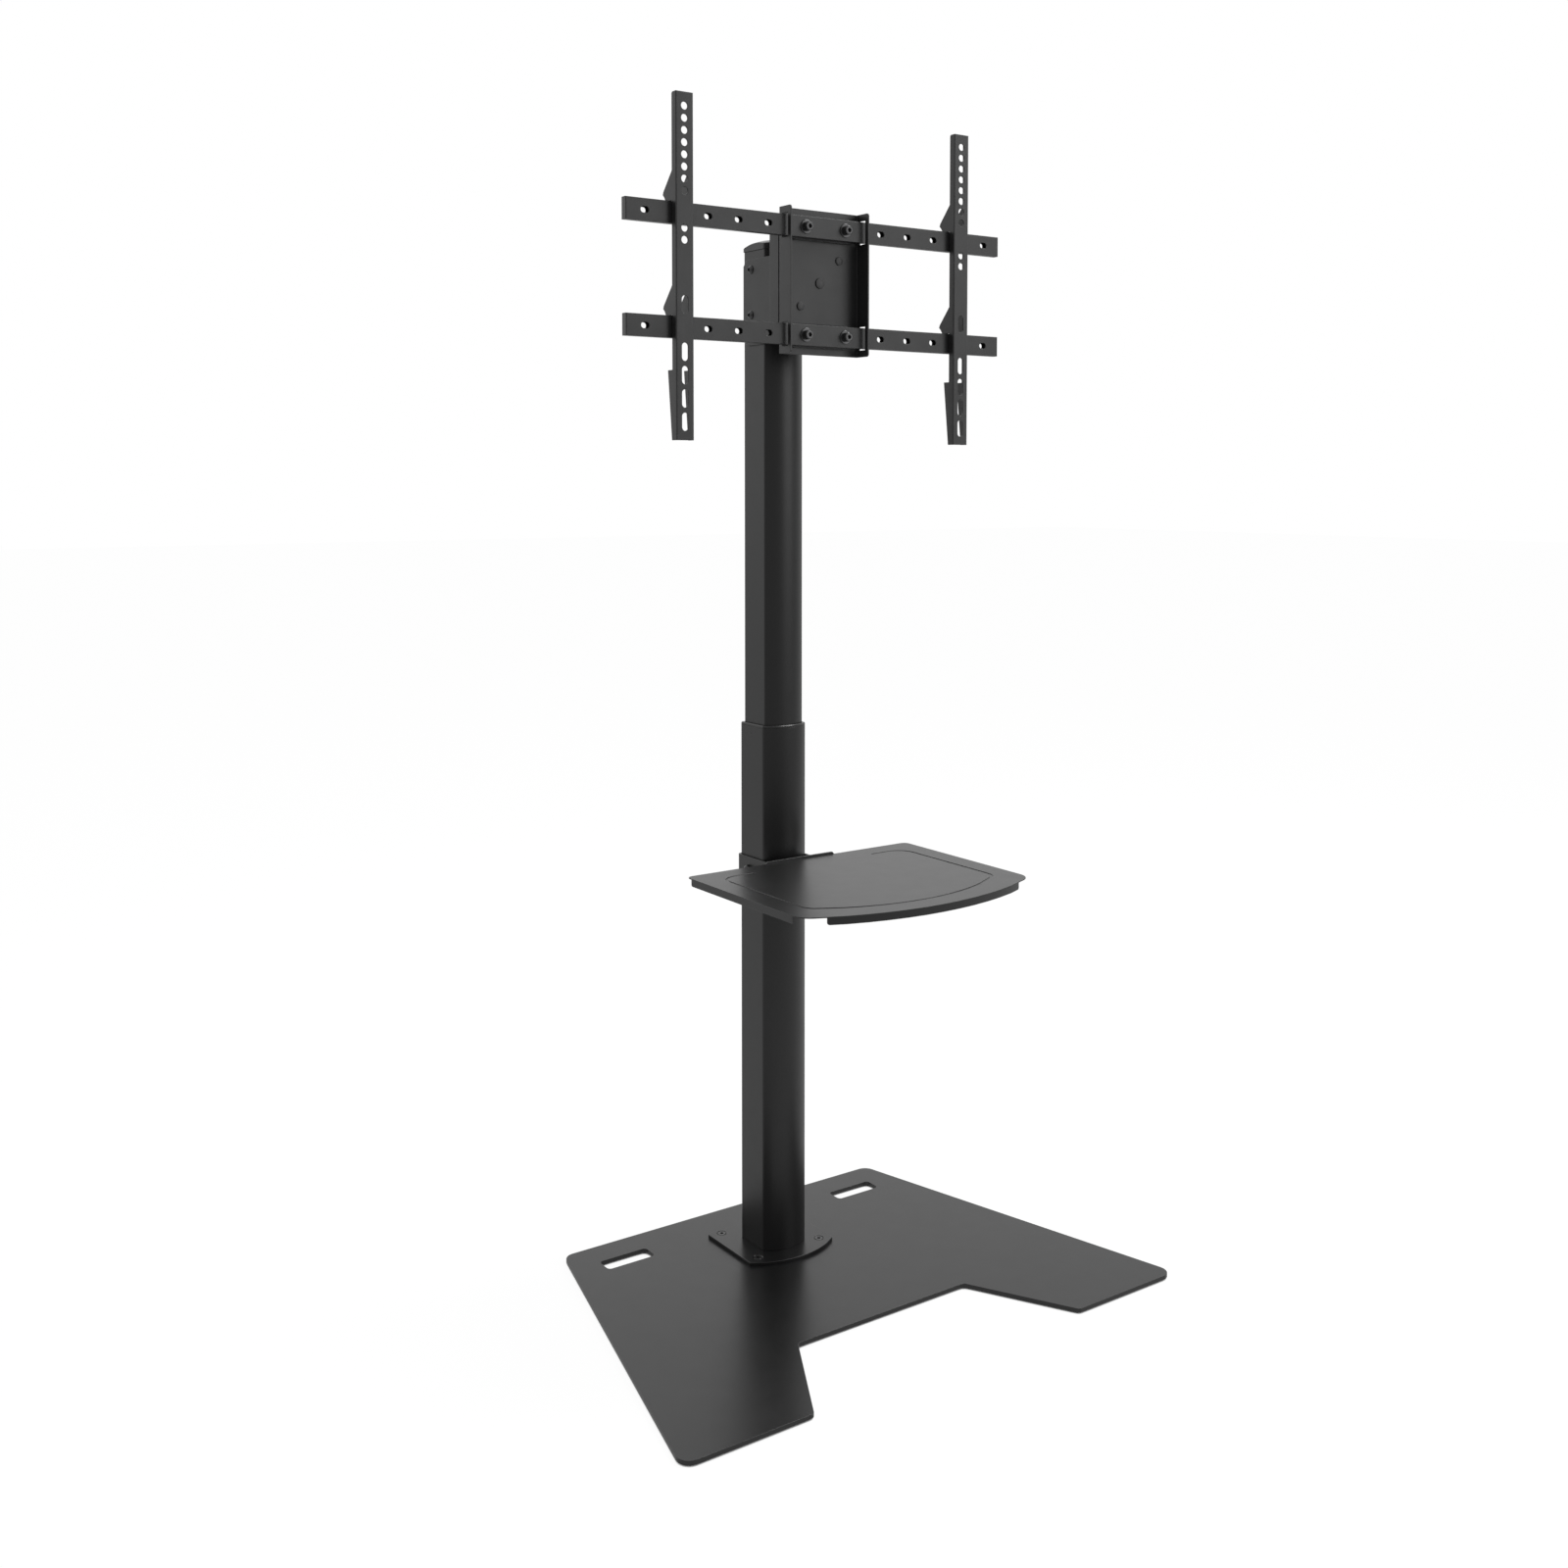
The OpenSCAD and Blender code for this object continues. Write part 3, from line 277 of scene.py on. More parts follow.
def materials():
    """The stand's finishes by name, made on first use from the chosen colours."""
    look = bpy.context.scene.stand_finishes
    colours = {
        "plate": look.plate_colour,
        "column": look.column_colour,
        "shelf": look.shelf_colour,
        "sheet": look.sheet_colour,
        # Rounded edges get the sheet coat made lighter, a painted highlight along them
        "edge": [c * look.edge_highlight_lift for c in look.sheet_colour],
    }
    gloss = look.powder_roughness
    coats = {name: powder_coat(f"{name}_powder_coat", colours[name], gloss + low, gloss + high)
             for name, (low, high) in COAT_GLOSS.items()}
    return {
        **coats,
        "plastic": finish_material(
            "collar_plastic", moulded_group(), look.plastic_colour,
            {"Gloss Low": 0.22, "Gloss High": 0.3, "Grain Depth": 0.004 * MM}, lighter=1.3),
        "rubber": finish_material(
            "pad_rubber_finish", moulded_group(), look.rubber_colour,
            {"Gloss Low": 0.7, "Gloss High": 0.85, "Grain Scale": 500.0}, lighter=1.2),
        "screw": finish_material(
            "black_oxide", powder_group(), look.screw_colour,
            {"Gloss Low": 0.18, "Gloss High": 0.26, "Grain Scale": 2600.0}, lighter=1.5,
            metallic=0.7),
        "zinc": finish_material(
            "zinc_plate", powder_group(), look.zinc_colour,
            {"Gloss Low": 0.26, "Gloss High": 0.4, "Grain Scale": 2200.0}, lighter=1.08,
            metallic=1.0),
    }


# meshes from the solids

def merged_copy(node, name):
    """A copy of a solid's mesh with its loose triangles joined and its flat faces made whole."""
    mesh = frame["nodes"][node].data.copy()
    mesh.name = name
    mesh.materials.clear()
    for layer in list(mesh.attributes):
        if layer.name == "custom_normal":
            mesh.attributes.remove(layer)
    work = bmesh.new()
    work.from_mesh(mesh)
    bmesh.ops.remove_doubles(work, verts=work.verts, dist=MERGE_DISTANCE)
    bmesh.ops.dissolve_degenerate(work, edges=work.edges, dist=MERGE_DISTANCE)
    bmesh.ops.dissolve_limit(work, angle_limit=FLAT_ANGLE, verts=work.verts, edges=work.edges,
                             use_dissolve_boundaries=False)
    work.to_mesh(mesh)
    work.free()
    piece = bpy.data.objects.new(name, mesh)
    bpy.context.scene.collection.objects.link(piece)
    return piece


def weigh_edges(mesh, rule):
    """Gives each sharp edge a bevel weight by rule(middle, direction), from 0 to 1."""
    label = "bevel_weight_edge"
    weights = mesh.attributes.get(label) or mesh.attributes.new(label, "FLOAT", "EDGE")
    work = bmesh.new()
    work.from_mesh(mesh)
    for edge in work.edges:
        value = 0.0
        if len(edge.link_faces) == 2 and edge.calc_face_angle(0.0) > SHARP_ANGLE:
            a, b = edge.verts
            value = rule((a.co + b.co) / 2, (b.co - a.co).normalized())
        weights.data[edge.index].value = value
    work.free()


def rounded(piece, width, segments, finish, edge_highlight_finish=None, rule=None, smooth=SMOOTH_ANGLE):
    """Rounds a piece's edges and bakes the result, with the rounded edges in their own finish, when
    one is given a lighter coat that paints a highlight on them.
    """
    mesh = piece.data
    mesh.materials.append(finish)
    mesh.shade_smooth()
    mesh.set_sharp_from_angle(angle=SHARP_ANGLE)
    bevel = piece.modifiers.new("Edges", "BEVEL")
    bevel.width = width
    bevel.segments = segments
    bevel.use_clamp_overlap = False
    bevel.loop_slide = False
    if rule:
        weigh_edges(mesh, rule)
        bevel.limit_method = "WEIGHT"
    else:
        bevel.limit_method = "ANGLE"
        bevel.angle_limit = SHARP_ANGLE
    # The rounded edges take the second finish: a lighter coat, a painted highlight
    if edge_highlight_finish:
        mesh.materials.append(edge_highlight_finish)
        bevel.material = 1
    return baked(piece, smooth)


def evaluated_mesh(piece):
    """Replaces a piece's mesh by its evaluated one and takes its modifiers away."""
    bpy.context.view_layer.update()
    graph = bpy.context.evaluated_depsgraph_get()
    mesh = bpy.data.meshes.new_from_object(piece.evaluated_get(graph))
    mesh.name = piece.name
    piece.modifiers.clear()
    old = piece.data
    piece.data = mesh
    if old.users == 0:
        bpy.data.meshes.remove(old)
    return mesh


def baked(piece, smooth):
    """Bakes a piece's modifiers, then its normals, so that flat faces shade flat to their edges."""
    mesh = evaluated_mesh(piece)
    mesh.shade_smooth()
    mesh.set_sharp_from_angle(angle=smooth)
    weighted = piece.modifiers.new("Normals", "WEIGHTED_NORMAL")
    weighted.keep_sharp = True
    evaluated_mesh(piece)
    return piece


def body_of(node):
    """The name of the body that a solid rides on."""
    for body, nodes in frame["record"]["behaviour"]["bodies"].items():
        if node in nodes:
            return body
    raise RuntimeError(f"no body holds {node}")


def settle(piece, *nodes):
    """Puts a finished piece on its body, in place of the named solids."""
    if not piece.data.polygons:
        raise RuntimeError(f"{piece.name} has no faces")
    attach(piece, body_of(nodes[0]))
    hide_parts(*nodes)
    return piece


def dress(node, *rounding, **options):
    """Dresses one solid: its mesh made whole, rounded as rounded() says, and put on its body."""
    piece = merged_copy(node, f"{node}_dressed")
    settle(rounded(piece, *rounding, **options), node)


def keep(node, finish):
    """Leaves a solid as it is and gives it a finish."""
    mesh = frame["nodes"][node].data
    if not mesh.materials:
        mesh.materials.append(finish)
    for index in range(len(mesh.materials)):
        mesh.materials[index] = finish


def middle_and_half(node):
    """Middle and half size of a solid's box."""
    low, high = (Vector(corner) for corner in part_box(node))
    return (low + high) / 2, (high - low) / 2


def bend_rule(node, end):
    """A rounding rule for a channel: full at the bends along its two sides, else a cut edge's.

    end says where the bends are: 0 at the solid's front, 1 at its rear.
    """
    size = bpy.context.scene.stand_sizes
    middle, half = middle_and_half(node)
    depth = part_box(node)[end][1]

    def rule(spot, direction):
        """1 at a bend, else the share that gives a cut edge."""
        at_side = abs(abs(spot.x - middle.x) - half.x) < NEAR
        at_end = abs(spot.y - depth) < NEAR
        if at_side and at_end and abs(direction.z) > UPRIGHT:
            return 1.0
        return size.edge_round / size.bend_round

    return rule


# geometry node trees

def new_tree(name, inputs):
    """An empty geometry tree with a geometry input and the given sockets."""
    tree = bpy.data.node_groups.new(name, "GeometryNodeTree")
    tree.interface.new_socket("Geometry", in_out="INPUT", socket_type="NodeSocketGeometry")
    for label, kind, default in inputs:
        socket = tree.interface.new_socket(label, in_out="INPUT", socket_type=kind)
        if default is not None:
            socket.default_value = default
    tree.interface.new_socket("Geometry", in_out="OUTPUT", socket_type="NodeSocketGeometry")
    source = tree.nodes.new("NodeGroupInput")
    out = tree.nodes.new("NodeGroupOutput")
    return tree, source, out


def feed(tree, socket, value):
    """Gives an input socket a number or the value of another socket."""
    if isinstance(value, (int, float)):
        socket.default_value = value
    else:
        tree.links.new(value, socket)


def maths(tree, operation, *values):
    """One math node; a value is a number or a socket. Returns its result socket."""
    node = tree.nodes.new("ShaderNodeMath")
    node.operation = operation
    for socket, value in zip(node.inputs, values):
        feed(tree, socket, value)
    return node.outputs["Value"]


def times(tree, first, second):
    """The product of two numbers or sockets."""
    return maths(tree, "MULTIPLY", first, second)


def vector_of(tree, x=0.0, y=0.0, z=0.0):
    """One Combine XYZ node; a part is a number or a socket."""
    node = tree.nodes.new("ShaderNodeCombineXYZ")
    for socket, value in zip(node.inputs, (x, y, z)):
        feed(tree, socket, value)
    return node.outputs["Vector"]


def position_parts(tree):
    """The X, Y and Z of each point's position."""
    place = tree.nodes.new("GeometryNodeInputPosition")
    split = tree.nodes.new("ShaderNodeSeparateXYZ")
    tree.links.new(place.outputs["Position"], split.inputs["Vector"])
    return [split.outputs[axis] for axis in "XYZ"]


def raised(tree, geometry, height):
    """One Transform Geometry node that moves up by a height socket."""
    node = tree.nodes.new("GeometryNodeTransform")
    tree.links.new(geometry, node.inputs["Geometry"])
    tree.links.new(vector_of(tree, z=height), node.inputs["Translation"])
    return node.outputs["Geometry"]


def reshaped(tree, geometry, x, y, z):
    """One Set Position node that moves each point to the given place."""
    node = tree.nodes.new("GeometryNodeSetPosition")
    tree.links.new(geometry, node.inputs["Geometry"])
    tree.links.new(vector_of(tree, x, y, z), node.inputs["Position"])
    return node.outputs["Geometry"]


def cut_by(tree, body, tool):
    """One boolean node that takes a tool out of a body."""
    node = tree.nodes.new("GeometryNodeMeshBoolean")
    node.operation = "DIFFERENCE"
    tree.links.new(body, node.inputs["Mesh 1"])
    tree.links.new(tool, node.inputs["Mesh 2"])
    return node.outputs["Mesh"]


def rod(tree, sides, radius, depth, fills=1, rings=1):
    """One mesh cylinder node, standing on the middle plane with its foot at zero."""
    node = tree.nodes.new("GeometryNodeMeshCylinder")
    node.fill_type = "NGON"
    for label, value in (("Vertices", sides), ("Side Segments", rings), ("Fill Segments", fills),
                         ("Radius", radius), ("Depth", depth)):
        feed(tree, node.inputs[label], value)
    return raised(tree, node.outputs["Mesh"], times(tree, depth, 0.5))


def place_copies(tree, source, out, geometry):
    """Ends a tree: one real copy on each input point, turned to its facing, with its finish."""
    spots = tree.nodes.new("GeometryNodeMeshToPoints")
    copies = tree.nodes.new("GeometryNodeInstanceOnPoints")
    real = tree.nodes.new("GeometryNodeRealizeInstances")
    finish = tree.nodes.new("GeometryNodeSetMaterial")
    link = tree.links.new
    link(source.outputs["Geometry"], spots.inputs["Mesh"])
    link(spots.outputs["Points"], copies.inputs["Points"])
    link(geometry, copies.inputs["Instance"])
    link(source.outputs["Facing"], copies.inputs["Rotation"])
    link(copies.outputs["Instances"], real.inputs["Geometry"])
    link(real.outputs["Geometry"], finish.inputs["Geometry"])
    link(source.outputs["Finish"], finish.inputs["Material"])
    link(finish.outputs["Geometry"], out.inputs["Geometry"])


def screw_tree():
    """Screws on the input's points: a chamfered, domed or tapered head, a socket and a shank."""
    name = "screws_on_points"
    if name in bpy.data.node_groups:
        return bpy.data.node_groups[name]
    length = "NodeSocketFloat"
    tree, source, out = new_tree(name, [
        ("Sides", "NodeSocketInt", ROUND_SIDES), ("Head Radius", length, 6.5 * MM),
        ("Head Height", length, 4 * MM), ("Crown", length, 0.0), ("Chamfer", length, 0.4 * MM),
        ("Foot Share", length, 1.0), ("Has Socket", "NodeSocketBool", True),
        ("Socket Flats", length, 5 * MM), ("Socket Depth", length, 2.5 * MM),
        ("Shank Radius", length, BOLT_RADIUS), ("Shank Length", length, 10 * MM),
        ("Facing", "NodeSocketRotation", None), ("Finish", "NodeSocketMaterial", None)])
    get = source.outputs
    head = rod(tree, get["Sides"], get["Head Radius"], get["Head Height"], HEAD_FILLS, HEAD_RINGS)
    x, y, z = position_parts(tree)
    share_up = maths(tree, "DIVIDE", z, get["Head Height"])
    reach = maths(tree, "SQRT", maths(tree, "ADD", times(tree, x, x), times(tree, y, y)))
    share_out = maths(tree, "DIVIDE", reach, get["Head Radius"])
    at_top = maths(tree, "GREATER_THAN", share_up, 1.0 - 0.5 / HEAD_RINGS)
    widening = times(tree, maths(tree, "SUBTRACT", 1.0, get["Foot Share"]), share_up)
    taper = maths(tree, "ADD", get["Foot Share"], widening)
    chamfer = times(tree, at_top, maths(tree, "DIVIDE", get["Chamfer"], get["Head Radius"]))
    scale = maths(tree, "SUBTRACT", taper, chamfer)
    dome = maths(tree, "SUBTRACT", 1.0, times(tree, share_out, share_out))
    lift = times(tree, times(tree, at_top, get["Crown"]), dome)
    head = reshaped(tree, head, times(tree, x, scale), times(tree, y, scale),
                    maths(tree, "ADD", z, lift))
    # Hexagon socket, cut from the head's top
    top = maths(tree, "ADD", get["Head Height"], get["Crown"])
    flats_to_radius = 1.0 / math.sqrt(3.0)
    tool = rod(tree, 6, times(tree, get["Socket Flats"], flats_to_radius),
               times(tree, get["Socket Depth"], 2.0))
    tool = raised(tree, tool, maths(tree, "SUBTRACT", top, get["Socket Depth"]))
    choice = tree.nodes.new("GeometryNodeSwitch")
    choice.input_type = "GEOMETRY"
    tree.links.new(get["Has Socket"], choice.inputs["Switch"])
    tree.links.new(head, choice.inputs["False"])
    tree.links.new(cut_by(tree, head, tool), choice.inputs["True"])
    shank = rod(tree, SHANK_SIDES, get["Shank Radius"], get["Shank Length"])
    shank = raised(tree, shank, times(tree, get["Shank Length"], -1.0))
    whole = tree.nodes.new("GeometryNodeJoinGeometry")
    tree.links.new(choice.outputs["Output"], whole.inputs["Geometry"])
    tree.links.new(shank, whole.inputs["Geometry"])
    place_copies(tree, source, out, whole.outputs["Geometry"])
    return tree


def ring_tree():
    """Washers and nuts on the input's points: a round or six-sided disc, chamfered and bored."""
    name = "rings_on_points"
    if name in bpy.data.node_groups:
        return bpy.data.node_groups[name]
    length = "NodeSocketFloat"
    tree, source, out = new_tree(name, [
        ("Sides", "NodeSocketInt", ROUND_SIDES), ("Outer Radius", length, 10 * MM),
        ("Bore Radius", length, BOLT_RADIUS), ("Height", length, 1.6 * MM),
        ("Chamfer", length, 0.3 * MM), ("Facing", "NodeSocketRotation", None),
        ("Finish", "NodeSocketMaterial", None)])
    get = source.outputs
    outer = rod(tree, get["Sides"], get["Outer Radius"], get["Height"], rings=NUT_RINGS)
    x, y, z = position_parts(tree)
    share_up = maths(tree, "DIVIDE", z, get["Height"])
    at_top = maths(tree, "GREATER_THAN", share_up, 1.0 - 0.5 / NUT_RINGS)
    chamfer = times(tree, at_top, maths(tree, "DIVIDE", get["Chamfer"], get["Outer Radius"]))
    scale = maths(tree, "SUBTRACT", 1.0, chamfer)
    outer = reshaped(tree, outer, times(tree, x, scale), times(tree, y, scale), z)
    bore = rod(tree, ROUND_SIDES, get["Bore Radius"], times(tree, get["Height"], 3.0))
    bore = raised(tree, bore, times(tree, get["Height"], -1.0))
    place_copies(tree, source, out, cut_by(tree, outer, bore))
    return tree


def fasten(node, tree, spots, values):
    """Makes a solid's fasteners: one of the tree's on each spot, with the given inputs."""
    name = f"{node}_dressed"
    mesh = bpy.data.meshes.new(name)
    mesh.from_pydata(spots, [], [])
    piece = bpy.data.objects.new(name, mesh)
    bpy.context.scene.collection.objects.link(piece)
    modifier = piece.modifiers.new("Build", "NODES")
    modifier.node_group = tree
    sockets = {item.name: item.identifier for item in tree.interface.items_tree
               if item.item_type == "SOCKET" and item.in_out == "INPUT"}
    for label, value in values.items():
        modifier[sockets[label]] = value
    settle(baked(piece, FASTENER_SMOOTH_ANGLE), node)


# properties

class StandSizes(bpy.types.PropertyGroup):
    """Sizes of the roundings and the grain."""
    edge_round: bpy.props.FloatProperty(
        name="Cut Edge", description="Rounding of laser-cut edges", default=0.5 * MM,
        unit="LENGTH", min=0.1 * MM, max=2 * MM, precision=5)
    bend_round: bpy.props.FloatProperty(
        name="Bend", description="Outer rounding of bent sheet", default=1.8 * MM,
        unit="LENGTH", min=0.5 * MM, max=2.4 * MM, precision=5)
    lip_round: bpy.props.FloatProperty(
        name="Collar Lip", description="Chamfer of the guide collar's rim", default=1.2 * MM,
        unit="LENGTH", min=0.5 * MM, max=2.2 * MM, precision=5)
    grain_depth: bpy.props.FloatProperty(
        name="Grain Depth", description="Height of the powder coat's orange peel",
        default=0.012 * MM, unit="LENGTH", min=0.0, max=0.1 * MM, precision=6)


class StandFinishes(bpy.types.PropertyGroup):
    """Colours and gloss of the finishes."""
    plate_colour: bpy.props.FloatVectorProperty(
        name="Plates", description="Powder coat of the base and the flange", subtype="COLOR",
        size=3, default=(0.008, 0.008, 0.0082), min=0.0, max=1.0)
    column_colour: bpy.props.FloatVectorProperty(
        name="Column", description="Powder coat of the tubes", subtype="COLOR",
        size=3, default=(0.008, 0.008, 0.0082), min=0.0, max=1.0)
    shelf_colour: bpy.props.FloatVectorProperty(
        name="Shelf", description="Powder coat of the shelf", subtype="COLOR",
        size=3, default=(0.012, 0.012, 0.0122), min=0.0, max=1.0)
    sheet_colour: bpy.props.FloatVectorProperty(
        name="Sheet Parts", description="Powder coat of the head, the arms and the shelf's holder",
        subtype="COLOR", size=3, default=(0.017, 0.017, 0.0173), min=0.0, max=1.0)
    plastic_colour: bpy.props.FloatVectorProperty(
        name="Plastic", description="Moulded collar, cap, shoe, disc and plugs", subtype="COLOR",
        size=3, default=(0.016, 0.016, 0.016), min=0.0, max=1.0)
    rubber_colour: bpy.props.FloatVectorProperty(
        name="Rubber", description="Pads under the base", subtype="COLOR",
        size=3, default=(0.012, 0.012, 0.012), min=0.0, max=1.0)
    screw_colour: bpy.props.FloatVectorProperty(
        name="Black Screws", description="Black oxide fasteners", subtype="COLOR",
        size=3, default=(0.055, 0.055, 0.056), min=0.0, max=1.0)
    zinc_colour: bpy.props.FloatVectorProperty(
        name="Zinc", description="Zinc-plated fasteners", subtype="COLOR",
        size=3, default=(0.5, 0.5, 0.51), min=0.0, max=1.0)
    powder_roughness: bpy.props.FloatProperty(
        name="Powder Roughness", description="Middle roughness of the powder coat", default=0.36,
        subtype="FACTOR", min=0.15, max=0.8)
    # Painted highlight: how much lighter the coat is painted over rounded edges
    edge_highlight_lift: bpy.props.FloatProperty(
        name="Edge Highlight Lift", description="How much lighter the coat is over rounded edges",
        default=1.6, subtype="FACTOR", min=1.0, max=4.0)


class StandStudio(bpy.types.PropertyGroup):
    """Light, floor and backdrop."""
    room_light: bpy.props.FloatProperty(
        name="Room Light", description="Strength of the even light on the stand", default=0.35,
        min=0.0, max=2.0)
    mirrored_back: bpy.props.FloatProperty(
        name="Mirrored Backdrop", default=1.08, min=0.0, max=1.5,
        description="Brightness in reflections of the side behind the stand")
    mirrored_front: bpy.props.FloatProperty(
        name="Mirrored Front", default=0.38, min=0.0, max=1.5,
        description="Brightness in reflections of the camera's side of the room")
    key_power: bpy.props.FloatProperty(
        name="Key Lamp", description="Power of the lamp overhead at the right", default=50.0,
        subtype="POWER", min=0.0, max=1000.0)
    fill_power: bpy.props.FloatProperty(
        name="Fill Lamp", description="Power of the large lamp in front at the right", default=27.0,
        subtype="POWER", min=0.0, max=1000.0)
    floor_size: bpy.props.FloatProperty(
        name="Floor Size", description="Side of the square floor", default=60.0, unit="LENGTH",
        min=4.0, max=200.0)
    floor_white: bpy.props.FloatProperty(
        name="Floor White", default=0.88, subtype="FACTOR", min=0.0, max=1.0,
        description="Share of the floor's own white, which its shadows leave")
    # Reach of the painted contact shadow on the floor close under a piece
    contact_shadow_reach: bpy.props.FloatProperty(
        name="Contact Shadow Reach", default=20 * MM, unit="LENGTH", min=1 * MM, max=100 * MM,
        description="How near a piece has to be to darken the floor under it")
    floor_mirrored: bpy.props.FloatProperty(
        name="Floor Mirrored", default=0.42, subtype="FACTOR", min=0.0, max=1.0,
        description="Share of the backdrop's light in reflections of the floor")
    floor_glow: bpy.props.FloatProperty(
        name="Floor Glow", default=1.08, min=0.0, max=1.2,
        description="Strength of the floor's own white, which hides its far edge")


# operators

class StandOperator(bpy.types.Operator):
    """Shared by the stand's operators."""
    bl_options = {"REGISTER", "UNDO"}


class STAND_OT_base(StandOperator):
    """Rounds the base plate and the foot flange and gives them their powder coat"""
    bl_idname = "stand.base"
    bl_label = "Base and Flange"

    def execute(self, context):
        size = context.scene.stand_sizes
        look = materials()
        low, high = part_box("foot_screws")

        def outline(spot, _direction):
            """Less at the screws' holes than along the outline."""
            at_screws = all(low[axis] - MM < spot[axis] < high[axis] + MM for axis in (0, 1))
            return SCREW_HOLE_SHARE if at_screws else 1.0

        dress("base_plate", size.edge_round, 3, look["plate"], look["edge"])
        dress("foot_flange", size.edge_round, 3, look["plate"], look["edge"], outline)
        return {"FINISHED"}


class STAND_OT_pads(StandOperator):
    """Makes the rubber pads under the base"""
    bl_idname = "stand.pads"
    bl_label = "Rubber Pads"

    def execute(self, context):
        dress("base_pads", PAD_ROUND, 2, materials()["rubber"])
        return {"FINISHED"}


class STAND_OT_foot_screws(StandOperator):
    """Makes the four countersunk screws of the foot flange"""
    bl_idname = "stand.foot_screws"
    bl_label = "Foot Screws"

    def execute(self, context):
        middle, half = middle_and_half("foot_screws")
        seat_r, seat_h = 8 * MM, 4 * MM
        foot = middle.z + half.z - seat_h
        spots = [(middle.x + sx * (half.x - seat_r), middle.y + sy * (half.y - seat_r), foot)
                 for sx in (-1, 1) for sy in (-1, 1)]
        fasten("foot_screws", screw_tree(), spots, {
            "Head Radius": seat_r - 1.0 * MM, "Head Height": seat_h - 0.1 * MM,
            "Chamfer": 0.7 * MM, "Foot Share": 0.5, "Socket Flats": 5 * MM,
            "Socket Depth": 2.4 * MM, "Shank Radius": BOLT_RADIUS,
            "Shank Length": 2 * half.z - seat_h, "Facing": UPWARD, "Finish": materials()["screw"]})
        return {"FINISHED"}


class STAND_OT_column(StandOperator):
    """Rounds the cut ends of both tubes and gives them their powder coat"""
    bl_idname = "stand.column"
    bl_label = "Column Tubes"

    def execute(self, context):
        size = context.scene.stand_sizes
        for node in ("lower_tube", "upper_tube"):
            dress(node, size.edge_round * TUBE_END_SHARE, 2, materials()["column"])
        return {"FINISHED"}


class STAND_OT_guides(StandOperator):
    """Makes the guide collar with its chamfered rim, the end cap and the slide shoe"""
    bl_idname = "stand.guides"
    bl_label = "Collar, Cap and Shoe"

    def execute(self, context):
        size = context.scene.stand_sizes
        plastic = materials()["plastic"]
        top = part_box("guide_collar")[1][2]

        def rim(spot, _direction):
            """Full at the top, and less elsewhere."""
            return 1.0 if spot.z > top - NEAR else COLLAR_EDGE_SHARE

        dress("guide_collar", size.lip_round, 1, plastic, rule=rim, smooth=RIM_SMOOTH_ANGLE)
        dress("end_cap", CAP_ROUND, 3, plastic)
        keep("slide_shoe", plastic)
        return {"FINISHED"}


class STAND_OT_height_locks(StandOperator):
    """Makes the weld nuts and the lock bolts behind the lower tube"""
    bl_idname = "stand.height_locks"
    bl_label = "Height Locks"

    def execute(self, context):
        look = materials()
        middle, half = middle_and_half("height_lock_nuts")
        radius = HEX_FLATS / math.sqrt(3)
        span = half.x - radius
        spots = [(middle.x + side * span, middle.y - half.y, middle.z) for side in (-1, 1)]
        fasten("height_lock_nuts", ring_tree(), spots, {
            "Sides": 6, "Outer Radius": radius, "Bore Radius": BOLT_RADIUS, "Height": 2 * half.y,
            "Chamfer": 0.6 * MM, "Facing": BACKWARD, "Finish": look["screw"]})
        middle, half = middle_and_half("height_lock_bolts")
        rear = middle.y + half.y
        head_h = 5.3 * MM
        spots = [(middle.x + side * span, rear - head_h, middle.z) for side in (-1, 1)]
        fasten("height_lock_bolts", screw_tree(), spots, {
            "Sides": 6, "Head Radius": radius, "Head Height": head_h, "Chamfer": 0.7 * MM,
            "Has Socket": False, "Shank Radius": BOLT_RADIUS, "Shank Length": 2 * half.y - head_h,
            "Facing": BACKWARD, "Finish": look["zinc"]})
        return {"FINISHED"}


class STAND_OT_clamp(StandOperator):
    """Dresses the clamp bracket and makes its bolts, nuts and sleeves"""
    bl_idname = "stand.clamp"
    bl_label = "Clamp Bracket"

    def execute(self, context):
        size = context.scene.stand_sizes
        look = materials()
        dress("clamp_bracket", size.edge_round, 2, look["sheet"], look["edge"])
        middle, half = middle_and_half("clamp_bolts")
        head_r, head_h, rim_h = 6.5 * MM, 5 * MM, 1.6 * MM
        left = middle.x - half.x + head_h
        spots = [(left, middle.y, middle.z + side * (half.z - head_r)) for side in (-1, 1)]
        fasten("clamp_bolts", screw_tree(), spots, {
            "Head Radius": head_r, "Head Height": rim_h, "Crown": head_h - rim_h,
            "Chamfer": 0.3 * MM, "Socket Flats": 5 * MM, "Socket Depth": 3 * MM,
            "Shank Radius": BOLT_RADIUS, "Shank Length": 2 * half.x - head_h,
            "Facing": LEFTWARD, "Finish": look["screw"]})
        keep("clamp_cap_nuts", look["screw"])
        keep("clamp_sleeves", look["zinc"])
        return {"FINISHED"}


class STAND_OT_turning(StandOperator):
    """Dresses the turning plate, the friction disc, and the nuts behind them"""
    bl_idname = "stand.turning"
    bl_label = "Turning Plate and Disc"

    def execute(self, context):
        size = context.scene.stand_sizes
        look = materials()
        dress("turning_plate", size.edge_round, 2, look["sheet"])
        dress("friction_disc", DISC_ROUND, 2, look["plastic"])
        keep("pivot_nut", look["zinc"])
        keep("turn_lock_nuts", look["zinc"])
        return {"FINISHED"}


class STAND_OT_tray(StandOperator):
    """Dresses the mount tray with its bends"""
    bl_idname = "stand.tray"
    bl_label = "Mount Tray"

    def execute(self, context):
        size = context.scene.stand_sizes
        look = materials()
        dress("mount_tray", size.bend_round, 3, look["sheet"], look["edge"],
              bend_rule("mount_tray", 1))
        return {"FINISHED"}


